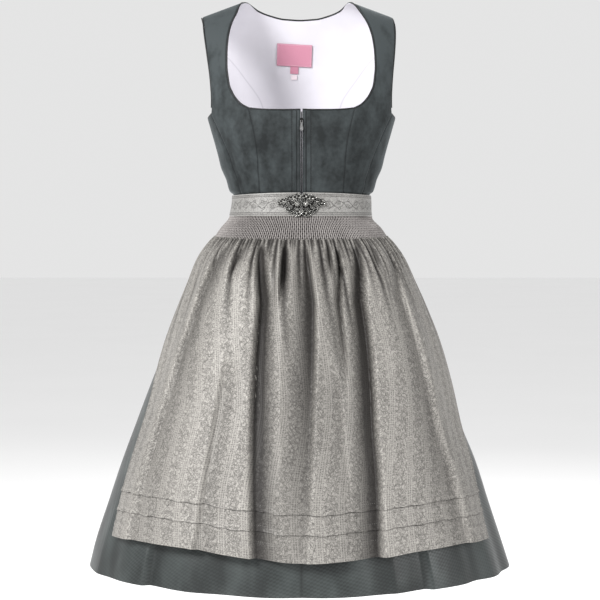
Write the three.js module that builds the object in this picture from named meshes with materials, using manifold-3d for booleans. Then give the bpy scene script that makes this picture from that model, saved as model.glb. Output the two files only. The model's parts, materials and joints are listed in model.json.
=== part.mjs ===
// A dirndl as worn: fitted velvet bodice with lining and piping, a gathered satin skirt, and a jacquard
// apron with a smocked top, a waistband and a two-part clasp. It is hollow, and stands as on a wearer.
// Millimetres, +Z up, the front faces -Y, and +X is the right of someone who looks at the front.
// The origin is at shoulder height, midway between the straps.

import * as THREE from "three";
import Module from "manifold-3d";

const wasm = await Module();
wasm.setup();

// Heights
const ARMPIT = -197;
const WAIST_SEAM = -360;
const BELT_TOP = -329;
const BELT_BOTTOM = -370;
const SMOCK_BOTTOM = -411;
const APRON_HEM = -942;
const SKIRT_HEM = -992;

// Cloth
const SEAM_GAP = 0.3;
const SHELL_WALL = 1.6;
const LINING_OUTSIDE = 1.9;
const LINING_INSIDE = 2.9;
const SKIRT_WALL = 2;
const APRON_WALL = 1.5;
const BELT_WALL = 2;
const SEAM_ANGLE = 0.08;

// Centre front: the two edges stand this far from the middle, and the zip lies between them
const FRONT_OPENING = 1.6;
const ZIP_HALF = 1.2;
const ZIP_DEPTHS = { outside: 0.3, inside: 2.3 };
const PULL_HINGE = -205.5;

// Shoulders: the strap from its neck edge to its arm edge, and how far the left one leans out
const NECK_POINT = 98;
const SHOULDER_POINT = 168.5;
const SHOULDER_HALF = 205;
const SHOULDER_LEAN = 8;
const SHOULDER_SET_BACK = 8;
const SHOULDER_ENDS = { front: 2 - 0.006, back: 2 - 0.0005 };

const TORSO_POWER = 2.4;
const BUST = { fullness: 7, angle: 33, spread: 16, height: -228, rise: 38 };

const DEG = Math.PI / 180;

// A table has column names and one row of numbers for each section
function table(names, ...rows) {
  return rows.map((row) => Object.fromEntries(names.map((name, column) => [name, row[column]])));
}

// The bodice at each height: half its width, and how far it stands in front and behind
const BODICE = table(
  ["z", "half", "front", "back"],
  [-360, 117, 84, 86],
  [-332.5, 121, 86, 87],
  [-327, 127.5, 89, 89],
  [-306, 134, 94.3, 90.4],
  [-284, 143.5, 100, 92.3],
  [-263, 148.5, 106, 95],
  [-241, 154.5, 111.5, 98],
  [-220, 160.5, 114, 99.4],
  [-197, 167, 112, 101],
);

// The skirt at each height, with the power of its rounded outline
const SKIRT = table(
  ["z", "left", "right", "front", "back", "power"],
  [-360, 118, 118, 85, 87, 2.4],
  [-372, 121, 118, 88, 90, 2.4],
  [-391, 136, 134, 99, 103, 2.36],
  [-413, 151, 149, 112, 118, 2.32],
  [-448, 173, 171, 130, 136, 2.27],
  [-484, 190, 190, 146, 152, 2.23],
  [-520, 206.6, 208.4, 160, 167, 2.2],
  [-591, 238, 239, 185, 193, 2.17],
  [-663, 267, 262, 208, 217, 2.15],
  [-734, 294, 282, 229, 239, 2.15],
  [-806, 321, 311, 250, 261, 2.15],
  [-877, 345, 334, 269, 282, 2.15],
  [-949, 369, 358, 284, 301, 2.15],
  [-992, 380, 372, 290, 309, 2.15],
);

// The waistband's outside at each height
const BELT = table(
  ["z", "left", "right", "front", "back", "power"],
  [-370, 129, 126, 96, 98, 2.4],
  [-360, 126.5, 125, 94.9, 95.5, 2.4],
  [-350, 124.8, 124.5, 93.8, 93.2, 2.4],
  [-329, 124, 124, 91.5, 91.3, 2.4],
);

// Seams and edges of the right half, by height
const PRINCESS = table(["z", "x"], [-360, 70], [-323, 74], [-261, 77], [-221, 83.6], [-184.5, 92]);
const SIDE_SEAM = table(
  ["z", "x"],
  [-360, 99.5], [-325, 108], [-290, 118], [-261, 129.5], [-227, 142], [-205, 153], [-192, 159.5],
);
const BACK_PRINCESS = table(
  ["z", "x"],
  [-360, 48], [-300, 54], [-240, 60], [-195, 66], [-164, 74], [-125, 100], [-86, 131], [-66, 154],
);
const NECK_STRAP = table(
  ["z", "x"],
  [-184.5, 92], [-178, 104], [-168.5, 114], [-156, 122], [-140, 128], [-118, 131], [-95, 131.5],
  [-68, 130], [-44, 126], [-24, 119], [-6, 109], [9.5, 98],
);
const ARMHOLE_FRONT = table(
  ["z", "x"],
  [-192, 159.5], [-175, 158.5], [-160, 158.5], [-140, 159.5], [-115, 161.5], [-88, 164.5],
  [-60, 167], [-37, 168.5], [-17.3, 168.5],
);
const ARMHOLE_BACK = table(["z", "x"], [-66, 154], [-42, 159], [-17.3, 168.5]);

// Necklines, by their distance from the middle
const NECK_LOW = table(["x", "z"], [1.6, -187.5], [30, -188], [60, -187.5], [92, -184.5]);
const BACK_NECK = table(
  ["x", "z"],
  [0, -17], [27, -15.5], [44, -12.5], [60, -7.5], [76, -1], [90, 6.5], [98, 9.5],
);

// The rows of the bodice below the arms, from the waist up
const LOW_ROWS = [-360, -332.5, -327, -300, -275, -242, -210];

// The strap's rows: the height of each at its neck edge and at its arm edge
const STRAP_ROWS = table(
  ["neck", "arm"],
  [-178, -183], [-168.5, -172], [-156, -158], [-140, -142], [-118, -121], [-92, -96], [-62, -70],
  [-36, -48], [-13, -31],
);
const BACK_SEAM_ROWS = [-195, -178, -160, -142, -124, -105, -86, -66];
const BACK_ARM_ROWS = [-44, -29];
const BACK_NECK_COLUMNS = [98, 76, 52, 27, 0, -27, -52, -76, -98];
const PATCH_FADE = { side: 1, back: 3 };

// Gathers and furrows of the apron. A furrow has the angle of its middle at the top, half way and
// at the hem, its half-width, its depth as a share of the lift, and where it starts and ends
const GATHERS = { count: 36, height: 4, fade: 28 };
const FURROWS = table(
  ["top", "middle", "hem", "wide", "wideHem", "deep", "deepMiddle", "deepHem", "from", "to"],
  [-24.5, -15.6, -11.6, 3, 3, 0.8, 1, 0.6, 0, 1],
  [0, 1.2, -0.5, 3, 5, 0.5, 0.8, 0.35, 0, 1],
  [37.2, 26.5, 24.5, 3, 3, 0.9, 1, 0.55, 0, 1],
  [-54.6, -47, -50.3, 5, 5, 0.7, 0.6, 0.3, 0, 1],
  [64.4, 53.9, 51.8, 4, 5, 0.6, 0.5, 0.4, 0, 1],
  [-10, -10, -10, 2.2, 2.2, 0.8, 0.8, 0.8, 0, 0.2],
  [13, 13, 13, 2.2, 2.2, 0.6, 0.6, 0.6, 0, 0.15],
  [22, 20, 20, 2.2, 2.2, 0.5, 0.5, 0.5, 0, 0.28],
  [44.6, 44.6, 44.6, 2.2, 2.2, 0.6, 0.6, 0.6, 0, 0.12],
  [-40.6, -40.6, -40.6, 2.2, 2.2, 0.6, 0.6, 0.6, 0, 0.1],
  [18, 16, 14, 3, 3, 0.35, 0.35, 0.35, 0.35, 1],
  [-30, -29, -27.5, 3, 3, 0.35, 0.35, 0.35, 0.35, 1],
);
const APRON_EDGES = table(
  ["z", "left", "right"],
  [-406, -100, 100], [-520, -88, 92], [-625, -76, 86], [-700, -69, 80], [-841, -66, 68.6],
  [-945, -60.3, 63.8],
);
const APRON_LIFT = table(["z", "lift"], [-406, 3], [-425, 12], [-480, 22], [-700, 24], [-945, 24]);
const APRON_REST = table(["z", "rest"], [-406, 6], [-520, 3], [-945, 3]);
const APRON_CORNER_RISE = 17;

// Rows of the apron as shares of its length; a tuck stands up and its lower edge drops back, and
// the inside has every row but the tucks' own
const APRON_ROWS = table(
  ["share", "raised", "inside"],
  [0, 0, true], [0.022, 0, true], [0.055, 0, true], [0.1, 0, true], [0.16, 0, true], [0.25, 0, true],
  [0.37, 0, true], [0.51, 0, true], [0.67, 0, true], [0.838, 0, true], [0.855, 1.3, false],
  [0.8568, 0, false], [0.901, 0, true], [0.9165, 1.3, false], [0.9183, 0, false], [0.958, 0.5, true],
  [1, 0.5, true],
);
const APRON_COLUMNS = 2 * GATHERS.count;

const SMOCKING = { ribs: 120, angle: 104, outside: 7, rib: 1.2, inside: 4, columns: 120, rise: 5 };

// Soft folds of the skirt: middle, half-width in degrees, depth at the hem
const SKIRT_FOLDS = table(
  ["angle", "wide", "deep"],
  [-78, 6, 7], [-62, 5, 9], [-45, 4, 12], [-20.5, 7, 7], [0, 4, 6], [21, 6, 6], [35, 4, 12],
  [55, 5, 9], [74, 6, 7],
);
const BACK_PLEATS = { count: 11, from: 95, to: 265, top: 3, hem: 14 };
const SKIRT_ROWS = [-360.3, -372, -391, -430, -500, -600, -720, -860, SKIRT_HEM];
const SKIRT_SEAMS = { front: 0, left: -95, right: 95 };

const COLOURS = {
  velvet: 0x4c5a5d, trim: 0x24292b, lining: 0xe6e3e8, ribbon: 0xaeaba8, smocking: 0x928d89,
  apron: 0xa39f9a, satin: 0x5c6664, silver: 0x9b9893, label: 0xe59fb5,
};

const vec = (x, y, z) => new THREE.Vector3(x, y, z);
const lerp = (from, to, share) => from + (to - from) * share;
const smooth = (share) => share * share * (3 - 2 * share);
const clamp = (value, low, high) => Math.min(high, Math.max(low, value));
const bell = (value, middle, spread) => Math.exp(-(((value - middle) / spread) ** 2));
const range = (count, make) => Array.from({ length: count }, (_, index) => make(index));

// A smooth curve through a table's rows that never overshoots them
function curve(rows, along, value) {
  const points = rows.map((row) => ({ at: row[along], is: row[value] })).sort((a, b) => a.at - b.at);
  const last = points.length - 1;
  const step = range(last, (k) => points[k + 1].at - points[k].at);
  const slope = range(last, (k) => (points[k + 1].is - points[k].is) / step[k]);
  const tangent = points.map((_, k) => {
    if (k === 0) return slope[0];
    if (k === last) return slope[last - 1];
    if (slope[k - 1] * slope[k] <= 0) return 0;
    const before = 2 * step[k] + step[k - 1];
    const after = step[k] + 2 * step[k - 1];
    return (before + after) / (before / slope[k - 1] + after / slope[k]);
  });
  return (at) => {
    const place = clamp(at, points[0].at, points[last].at);
    let k = 0;
    while (k < last - 1 && place > points[k + 1].at) k += 1;
    const u = (place - points[k].at) / step[k];
    const rise = points[k + 1].is - points[k].is;
    const start = tangent[k] * step[k];
    const end = tangent[k + 1] * step[k];
    return points[k].is + start * u + (3 * rise - 2 * start - end) * u * u + (start + end - 2 * rise) * u ** 3;
  };
}

// Makes one closed body from lists of points and faces, with its faces outward
function solid(points, faces) {
  let volume = 0;
  for (const [a, b, c] of faces) volume += points[a].dot(points[b].clone().cross(points[c]));
  const geometry = new THREE.BufferGeometry();
  geometry.setAttribute("position", new THREE.Float32BufferAttribute(points.flatMap((p) => p.toArray()), 3));
  geometry.setIndex(faces.flatMap(([a, b, c]) => (volume < 0 ? [a, c, b] : [a, b, c])));
  return geometry;
}

// A wall of cloth between its outside and inside rows, from top to bottom, each from left to right.
// Rows may have different counts: a strip between two of them steps along whichever lags behind
function wall(outsideRows, insideRows) {
  const points = [];
  const numbered = (rows) => rows.map((row) => row.map((point) => points.push(point) - 1));
  const outside = numbered(outsideRows);
  const inside = numbered(insideRows);
  const faces = [];
  const byCount = (line) => line.map((_, index) => index / (line.length - 1));
  const byLength = (line) => {
    const lengths = line.map((point, index) => (index ? points[point].distanceTo(points[line[index - 1]]) : 0));
    const whole = lengths.reduce((sum, length) => sum + length);
    let passed = 0;
    return lengths.map((length) => (passed += length) / whole);
  };
  const strip = (upper, lower, shares = byCount, facesIn = false) => {
    const face = (a, b, c) => faces.push(facesIn ? [a, c, b] : [a, b, c]);
    const upperShares = shares(upper);
    const lowerShares = shares(lower);
    let i = 0;
    let j = 0;
    while (i < upper.length - 1 || j < lower.length - 1) {
      const nextUpper = i < upper.length - 1 ? upperShares[i + 1] : Infinity;
      const nextLower = j < lower.length - 1 ? lowerShares[j + 1] : Infinity;
      if (nextLower <= nextUpper + 1e-6) {
        face(upper[i], lower[j], lower[j + 1]);
        j += 1;
      } else {
        face(upper[i], lower[j], upper[i + 1]);
        i += 1;
      }
    }
  };
  for (let row = 0; row < outside.length - 1; row += 1) strip(outside[row], outside[row + 1]);
  for (let row = 0; row < inside.length - 1; row += 1) strip(inside[row], inside[row + 1], byCount, true);
  strip(inside[0], outside[0]);
  strip(outside.at(-1), inside.at(-1));
  strip(outside.map((row) => row[0]), inside.map((row) => row[0]), byLength);
  strip(inside.map((row) => row.at(-1)), outside.map((row) => row.at(-1)), byLength);
  return solid(points, faces);
}

// A round cord along a path of places, each with a point and two directions across the cord
function cord(path, radius, sides) {
  const points = [];
  const faces = [];
  const ring = (index, side) => index * sides + (side % sides);
  for (const { at, out, up } of path) {
    for (let side = 0; side < sides; side += 1) {
      const turn = (side / sides) * 2 * Math.PI;
      points.push(at.clone().addScaledVector(out, radius * Math.cos(turn)).addScaledVector(up, radius * Math.sin(turn)));
    }
  }
  for (let index = 0; index < path.length - 1; index += 1) {
    for (let side = 0; side < sides; side += 1) {
      faces.push([ring(index, side), ring(index, side + 1), ring(index + 1, side)]);
      faces.push([ring(index + 1, side), ring(index, side + 1), ring(index + 1, side + 1)]);
    }
  }
  const end = path.length - 1;
  for (let side = 1; side < sides - 1; side += 1) {
    faces.push([ring(0, 0), ring(0, side + 1), ring(0, side)]);
    faces.push([ring(end, 0), ring(end, side), ring(end, side + 1)]);
  }
  return solid(points, faces);
}

// Joins closed geometries into one body
function join(geometries) {
  const bodies = geometries.map((geometry) => {
    const plain = geometry.index ? geometry.toNonIndexed() : geometry;
    const position = plain.attributes.position;
    const seen = new Map();
    const points = [];
    const corners = range(position.count, (index) => {
      const point = [position.getX(index), position.getY(index), position.getZ(index)];
      const key = point.map((value) => Math.round(value * 1e4)).join(" ");
      if (!seen.has(key)) seen.set(key, points.push(point) - 1);
      return seen.get(key);
    });
    const mesh = new wasm.Mesh({
      numProp: 3,
      vertProperties: new Float32Array(points.flat()),
      triVerts: new Uint32Array(corners),
    });
    return new wasm.Manifold(mesh);
  });
  const mesh = bodies.reduce((sum, body) => sum.add(body)).getMesh();
  const geometry = new THREE.BufferGeometry();
  geometry.setAttribute("position", new THREE.BufferAttribute(new Float32Array(mesh.vertProperties), 3));
  geometry.setIndex(new THREE.BufferAttribute(new Uint32Array(mesh.triVerts), 1));
  return geometry;
}

// The bodice's surface. A place on it is an angle t, 0 at centre front and positive to the right,
// and a level: 0 at the waist seam, 1 at the armpits and 2 along the shoulder line
const bodiceHalf = curve(BODICE, "z", "half");
const bodiceFront = curve(BODICE, "z", "front");
const bodiceBack = curve(BODICE, "z", "back");
const armpit = BODICE.at(-1);
const shoulderTop = (x) => 9.5 - 0.38 * (Math.hypot(x, 30) - 102.5);

function surface(t, level) {
  const across = Math.sin(t * DEG);
  const front = Math.cos(t * DEG) >= 0;
  const side = Math.max(0, 1 - Math.abs(across) ** TORSO_POWER) ** (1 / TORSO_POWER);
  if (level <= 1) {
    const z = lerp(WAIST_SEAM, ARMPIT, level);
    const reach = front ? -bodiceFront(z) : bodiceBack(z);
    return vec(bodiceHalf(z) * across, reach * side - bust(t, z, front), z);
  }
  const turn = ((level - 1) * Math.PI) / 2;
  const rise = Math.sin(turn);
  const x = lerp(armpit.half, SHOULDER_HALF, smooth(level - 1)) * across;
  const z = ARMPIT + (shoulderTop(x) - ARMPIT) * rise;
  const fall = Math.max(0, Math.cos(turn));
  const reach = front ? -armpit.front * fall ** 1.4 : armpit.back * fall ** 0.9;
  const y = reach * side - bust(t, z, front) + SHOULDER_SET_BACK * rise * rise;
  return vec(x - SHOULDER_LEAN * (level - 1) ** 2, y, z);
}

function bust(t, z, front) {
  return front ? BUST.fullness * bell(Math.abs(t), BUST.angle, BUST.spread) * bell(z, BUST.height, BUST.rise) : 0;
}

// The direction straight out of the bodice's surface
function outward(t, level) {
  const here = surface(t, level);
  if (level > 1.985) return vec((0.38 * here.x) / Math.hypot(here.x, 30), 0, 1).normalize();
  const along = surface(t + 0.25, level).sub(surface(t - 0.25, level));
  const up = surface(t, level + 0.004).sub(surface(t, level - 0.004));
  return along.cross(up).normalize();
}

// A point inside the bodice's surface by a depth
const cloth = (place, depth) => surface(place.t, place.level).addScaledVector(outward(place.t, place.level), -depth);

// The place on the bodice at a distance x from the middle and a height z
function spot(x, z, back = false) {
  let level = (z - WAIST_SEAM) / (ARMPIT - WAIST_SEAM);
  let half = bodiceHalf(z);
  if (z > ARMPIT) {
    level = 1 + Math.asin(Math.min(1, (z - ARMPIT) / (shoulderTop(x) - ARMPIT))) / (Math.PI / 2);
    half = lerp(armpit.half, SHOULDER_HALF, smooth(level - 1));
  }
  const t = Math.asin(clamp(x / half, -1, 1)) / DEG;
  return { t: back ? 180 - t : t, level };
}

function shoulderSpot(x, back = false) {
  const t = Math.asin(x / SHOULDER_HALF) / DEG;
  return { t: back ? 180 - t : t, level: back ? SHOULDER_ENDS.back : SHOULDER_ENDS.front };
}

const princessX = curve(PRINCESS, "z", "x");
const sideSeamX = curve(SIDE_SEAM, "z", "x");
const backPrincessX = curve(BACK_PRINCESS, "z", "x");
const neckStrapX = curve(NECK_STRAP, "z", "x");
const armFrontX = curve(ARMHOLE_FRONT, "z", "x");
const armBackX = curve(ARMHOLE_BACK, "z", "x");
const neckLowZ = curve(NECK_LOW, "x", "z");
const backNeckZ = curve(BACK_NECK, "x", "z");

const between = (a, b, share) => ({ t: lerp(a.t, b.t, share), level: lerp(a.level, b.level, share) });
const shifted = (place, angle) => ({ t: place.t + angle, level: place.level });
const acrossRow = (left, right, columns) => range(columns + 1, (column) => between(left, right, column / columns));

// Rows of places for the right half's panels, from the top down
function frontPlaces() {
  const columns = 4;
  const low = LOW_ROWS.map((z) => acrossRow(spot(FRONT_OPENING, z), shifted(spot(princessX(z), z), -SEAM_ANGLE), columns));
  const top = LOW_ROWS.at(-1);
  const high = [0.5, 1].map((share) => range(columns + 1, (column) => {
    const u = column / columns;
    const x = lerp(lerp(FRONT_OPENING, princessX(top), u), lerp(FRONT_OPENING, NECK_LOW.at(-1).x, u), share);
    return shifted(spot(x, lerp(top, neckLowZ(x), share)), -SEAM_ANGLE * u);
  }));
  return [...low, ...high].reverse();
}

function sideFrontPlaces() {
  const columns = 4;
  const row = (left, right) => acrossRow(shifted(left, SEAM_ANGLE), shifted(right, -SEAM_ANGLE), columns);
  const low = LOW_ROWS.map((z) => row(spot(princessX(z), z), spot(sideSeamX(z), z)));
  const corner = { neck: NECK_STRAP[0].z, arm: ARMHOLE_FRONT[0].z };
  const top = LOW_ROWS.at(-1);
  const bustRows = [0.25, 0.5, 0.75, 1].map((share) => {
    const neck = lerp(top, corner.neck, share);
    const arm = lerp(top, corner.arm, share);
    return row(spot(princessX(neck), neck), spot(sideSeamX(arm), arm));
  });
  const strap = STRAP_ROWS.map(({ neck, arm }) => row(spot(neckStrapX(neck), neck), spot(armFrontX(arm), arm)));
  const shoulder = row(shoulderSpot(NECK_POINT), shoulderSpot(SHOULDER_POINT));
  return [...low, ...bustRows, ...strap, shoulder].reverse();
}

// The underarm's columns from the side seam round to the back seam
function underarm() {
  return [
    spot(159.5, -192),
    spot(166, -198.5),
    { t: 90, level: 0.985 },
    spot(165, -198, true),
    spot(157, -182, true),
    spot(151, -155, true),
    spot(150.5, -110, true),
    spot(154, -66, true),
  ];
}

// A patch between a bottom row, two sides and a top row, in places. The higher the fade, the fewer
// rows under the top one take its shape
function patch(bottom, left, right, top, fade) {
  const rows = left.length - 1;
  const columns = top.length - 1;
  const bent = (line, key, u, column) => line[column][key] - lerp(line[0][key], line[columns][key], u);
  const mix = (key, u, v, row, column) =>
    lerp(left[row][key], right[row][key], u) + lerp(bent(bottom, key, u, column), bent(top, key, u, column), v);
  return range(rows, (index) => range(columns + 1, (column) => {
    const row = index + 1;
    const u = column / columns;
    const v = (row / rows) ** fade;
    return { t: mix("t", u, v, row, column), level: mix("level", u, v, row, column) };
  }));
}

function sideBackPlaces() {
  const top = underarm();
  const columns = top.length - 1;
  const seam = (z) => shifted(spot(sideSeamX(z), z), SEAM_ANGLE);
  const back = (z) => shifted(spot(backPrincessX(z), z, true), -SEAM_ANGLE);
  const low = LOW_ROWS.map((z) => acrossRow(seam(z), back(z), columns));
  const start = LOW_ROWS.at(-1);
  const left = [start, ...BACK_SEAM_ROWS].map((_, row) => seam(lerp(start, -192, row / BACK_SEAM_ROWS.length)));
  const right = [start, ...BACK_SEAM_ROWS].map(back);
  top[0] = left.at(-1);
  top[columns] = right.at(-1);
  return [...low, ...patch(low.at(-1), left, right, top, PATCH_FADE.side)].reverse();
}

function backPlaces() {
  const shoulder = [SHOULDER_POINT, (SHOULDER_POINT + NECK_POINT) / 2];
  const neck = BACK_NECK_COLUMNS.map((x) =>
    (Math.abs(x) === NECK_POINT ? shoulderSpot(x, true) : spot(x, backNeckZ(Math.abs(x)), true)));
  const top = [
    ...shoulder.map((x) => shoulderSpot(x, true)),
    ...neck,
    ...shoulder.map((x) => shoulderSpot(-x, true)).reverse(),
  ];
  const columns = top.length - 1;
  const edge = (z) => (z > BACK_SEAM_ROWS.at(-1) ? armBackX(z) : backPrincessX(z));
  const right = (z) => shifted(spot(edge(z), z, true), SEAM_ANGLE);
  const other = (place) => ({ t: 360 - place.t, level: place.level });
  const low = LOW_ROWS.map((z) => acrossRow(right(z), other(right(z)), columns));
  const sides = [...[LOW_ROWS.at(-1), ...BACK_SEAM_ROWS, ...BACK_ARM_ROWS].map(right), top[0]];
  return [...low, ...patch(low.at(-1), sides, sides.map(other), top, PATCH_FADE.back)].reverse();
}

const mirrored = (rows) => rows.map((row) => row.map((place) => ({ t: -place.t, level: place.level })).reverse());
const panel = (rows, outside, inside) =>
  wall(...[outside, inside].map((depth) => rows.map((row) => row.map((place) => cloth(place, depth)))));

const places = { front: frontPlaces(), side_front: sideFrontPlaces(), side_back: sideBackPlaces() };
const backPanel = backPlaces();

const dirndl = new THREE.Group();

function add(name, geometry, colour, roughness = 0.8, metalness = 0, parent = dirndl) {
  const material = new THREE.MeshStandardMaterial({ color: colour, roughness, metalness });
  const mesh = new THREE.Mesh(geometry, material);
  mesh.name = name;
  parent.add(mesh);
  return mesh;
}

// Bodice and its lining, which has the same seams
function addPanels(layer, outside, inside, colour) {
  for (const [name, rows] of Object.entries(places)) {
    add(`${layer}_${name}_left`, panel(mirrored(rows), outside, inside), colour);
    add(`${layer}_${name}_right`, panel(rows, outside, inside), colour);
  }
  add(`${layer}_back`, panel(backPanel, outside, inside), colour);
}
addPanels("bodice", 0, SHELL_WALL, COLOURS.velvet);
addPanels("lining", LINING_OUTSIDE, LINING_INSIDE, COLOURS.lining);

// Piping along an edge: each stop is a place on the edge and one next to it inside the cloth
const PIPING = { radius: 1.4, sides: 5, depth: 1.45 };

function piping(stops, startGap, endGap) {
  const points = stops.map(({ edge }) => cloth(edge, PIPING.depth));
  const last = points.length - 1;
  const path = stops.map(({ edge, within }, index) => {
    const up = outward(edge.t, edge.level);
    const along = points[Math.min(last, index + 1)].clone().sub(points[Math.max(0, index - 1)]).normalize();
    const out = along.clone().cross(up).normalize();
    if (out.dot(cloth(within, PIPING.depth).sub(points[index])) > 0) out.negate();
    return { at: points[index].clone().addScaledVector(out, PIPING.radius + SEAM_GAP), out, up, along };
  });
  path[0].at.addScaledVector(path[0].along, startGap);
  path[last].at.addScaledVector(path[last].along, -endGap);
  return cord(path, PIPING.radius, PIPING.sides);
}

// Stops along a panel's top row, its left edge or its right edge
const topStops = (rows) => rows[0].map((edge, column) => ({ edge, within: rows[1][column] }));
const leftStops = (rows) => rows.map((row) => ({ edge: row[0], within: row[1] }));
const rightStops = (rows) => rows.map((row) => ({ edge: row.at(-1), within: row.at(-2) }));
const flipped = (stops) => stops.map(({ edge, within }) => ({
  edge: { t: -edge.t, level: edge.level }, within: { t: -within.t, level: within.level },
})).reverse();

const strapRows = STRAP_ROWS.length + 1;
const neckRight = [
  ...topStops(places.front),
  ...leftStops(places.side_front).slice(1, strapRows).reverse(),
];
const neckBack = topStops(backPanel).slice(2, -2);
const neckStops = [...neckRight, ...neckBack, ...flipped(neckRight)];
add("neck_piping", piping(neckStops, 0, 0), COLOURS.trim);

const armRight = [
  ...rightStops(places.side_front).slice(1, strapRows + 1).reverse(),
  ...leftStops(backPanel).slice(0, BACK_ARM_ROWS.length + 1),
  ...topStops(places.side_back).reverse(),
];
// The cord's ends meet at the side seam, where the strap's end stops short of the underarm's
const STRAP_END_GAP = 2 * (PIPING.radius + SEAM_GAP);
add("armhole_piping_right", piping(armRight, STRAP_END_GAP, SEAM_GAP), COLOURS.trim);
add("armhole_piping_left", piping(flipped(armRight), SEAM_GAP, STRAP_END_GAP), COLOURS.trim);

// Zip: the chain between the front edges, and the slider with its pull tab
const ZIP_ROWS = [-190, -210, -242, -275, -300, -327, -332.5, -355];
const zipRows = (depth) => ZIP_ROWS.map((z) => [-ZIP_HALF, ZIP_HALF].map((x) => cloth(spot(x, z), depth)));
add("zip_chain", wall(zipRows(ZIP_DEPTHS.outside), zipRows(ZIP_DEPTHS.inside)), COLOURS.trim, 0.5, 0.3);

const SLIDER = { half: 2.6, top: 4, bottom: -6, back: 0.45, front: 1.7 };
const BRIDGE = { half: 0.8, reach: 2.2, front: 5, hole: 1.2, holeFront: 4.1 };
const PULL = {
  hinge: 3, thick: 0.9, half: 2.2, top: 0.55, tip: -18, slotHalf: 1.2, slotEnd: -3.6, arms: -4.2,
  waist: 1.7, bulb: 2.9,
};

const hingeSpot = spot(0, PULL_HINGE);
const hingeCloth = cloth(hingeSpot, 0);
const clothUp = cloth(spot(0, PULL_HINGE + 5), 0).sub(cloth(spot(0, PULL_HINGE - 10), 0));
const zipFittings = new THREE.Group();
zipFittings.position.copy(hingeCloth);
zipFittings.rotation.x = Math.atan2(-clothUp.y, clothUp.z);
dirndl.add(zipFittings);

// The bridge is an arch over the slider, open from side to side for the pull's crossbar
function bridge() {
  const arch = new THREE.Shape([
    new THREE.Vector2(-BRIDGE.reach, SLIDER.front - 0.4),
    new THREE.Vector2(BRIDGE.reach, SLIDER.front - 0.4),
    new THREE.Vector2(BRIDGE.reach, BRIDGE.holeFront),
    new THREE.Vector2(BRIDGE.hole, BRIDGE.front),
    new THREE.Vector2(-BRIDGE.hole, BRIDGE.front),
    new THREE.Vector2(-BRIDGE.reach, BRIDGE.holeFront),
  ]);
  arch.holes.push(new THREE.Path([
    new THREE.Vector2(-BRIDGE.hole, SLIDER.front + 0.02),
    new THREE.Vector2(-BRIDGE.hole, BRIDGE.holeFront - 0.4),
    new THREE.Vector2(-BRIDGE.hole + 0.4, BRIDGE.holeFront),
    new THREE.Vector2(BRIDGE.hole - 0.4, BRIDGE.holeFront),
    new THREE.Vector2(BRIDGE.hole, BRIDGE.holeFront - 0.4),
    new THREE.Vector2(BRIDGE.hole, SLIDER.front + 0.02),
  ]));
  const geometry = new THREE.ExtrudeGeometry(arch, { depth: 2 * BRIDGE.half, bevelEnabled: false });
  geometry.translate(0, 0, -BRIDGE.half);
  const toSlider = new THREE.Matrix4().makeBasis(vec(0, 0, 1), vec(0, -1, 0), vec(1, 0, 0));
  return geometry.applyMatrix4(toSlider);
}
const sliderBody = new THREE.BoxGeometry(2 * SLIDER.half, SLIDER.front - SLIDER.back, SLIDER.top - SLIDER.bottom);
sliderBody.translate(0, -(SLIDER.front + SLIDER.back) / 2, (SLIDER.top + SLIDER.bottom) / 2);
add("zip_slider", join([sliderBody, bridge()]), COLOURS.silver, 0.35, 0.9, zipFittings);

function pullTab() {
  const outline = new THREE.Shape();
  outline.moveTo(-PULL.half, PULL.top);
  outline.lineTo(PULL.half, PULL.top);
  outline.lineTo(PULL.half, PULL.arms);
  outline.quadraticCurveTo(PULL.waist, -6, PULL.waist, -8);
  outline.quadraticCurveTo(PULL.bulb, -12, PULL.bulb, -15);
  outline.quadraticCurveTo(PULL.bulb, PULL.tip, 0, PULL.tip);
  outline.quadraticCurveTo(-PULL.bulb, PULL.tip, -PULL.bulb, -15);
  outline.quadraticCurveTo(-PULL.bulb, -12, -PULL.waist, -8);
  outline.quadraticCurveTo(-PULL.waist, -6, -PULL.half, PULL.arms);
  outline.holes.push(new THREE.Path([
    new THREE.Vector2(-PULL.slotHalf, -PULL.top),
    new THREE.Vector2(-PULL.slotHalf, PULL.slotEnd),
    new THREE.Vector2(PULL.slotHalf, PULL.slotEnd),
    new THREE.Vector2(PULL.slotHalf, -PULL.top),
  ]));
  const geometry = new THREE.ExtrudeGeometry(outline, { depth: PULL.thick, bevelEnabled: false, curveSegments: 3 });
  geometry.translate(0, 0, -PULL.thick / 2);
  geometry.rotateX(Math.PI / 2);
  return geometry.translate(0, -PULL.hinge, 0);
}
add("zip_pull", pullTab(), COLOURS.silver, 0.3, 0.95, zipFittings);

// A point outside a rounded ring of the skirt or the waistband
function ringMaker(rows) {
  const curves = Object.fromEntries(["left", "right", "front", "back", "power"].map((key) => [key, curve(rows, "z", key)]));
  return (t, z, offset) => {
    const across = Math.sin(t * DEG);
    const front = Math.cos(t * DEG) >= 0;
    const power = curves.power(z);
    const half = across < 0 ? curves.left(z) : curves.right(z);
    const reach = front ? curves.front(z) : curves.back(z);
    const side = Math.max(1e-9, 1 - Math.abs(across) ** power) ** (1 / power);
    const normal = vec(
      (Math.sign(across) * Math.abs(across) ** (power - 1)) / half,
      ((front ? -1 : 1) * side ** (power - 1)) / reach,
      0,
    ).normalize();
    return vec(half * across, (front ? -1 : 1) * reach * side, z).addScaledVector(normal, offset);
  };
}
const skirtRing = ringMaker(SKIRT);
const beltRing = ringMaker(BELT);

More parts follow.
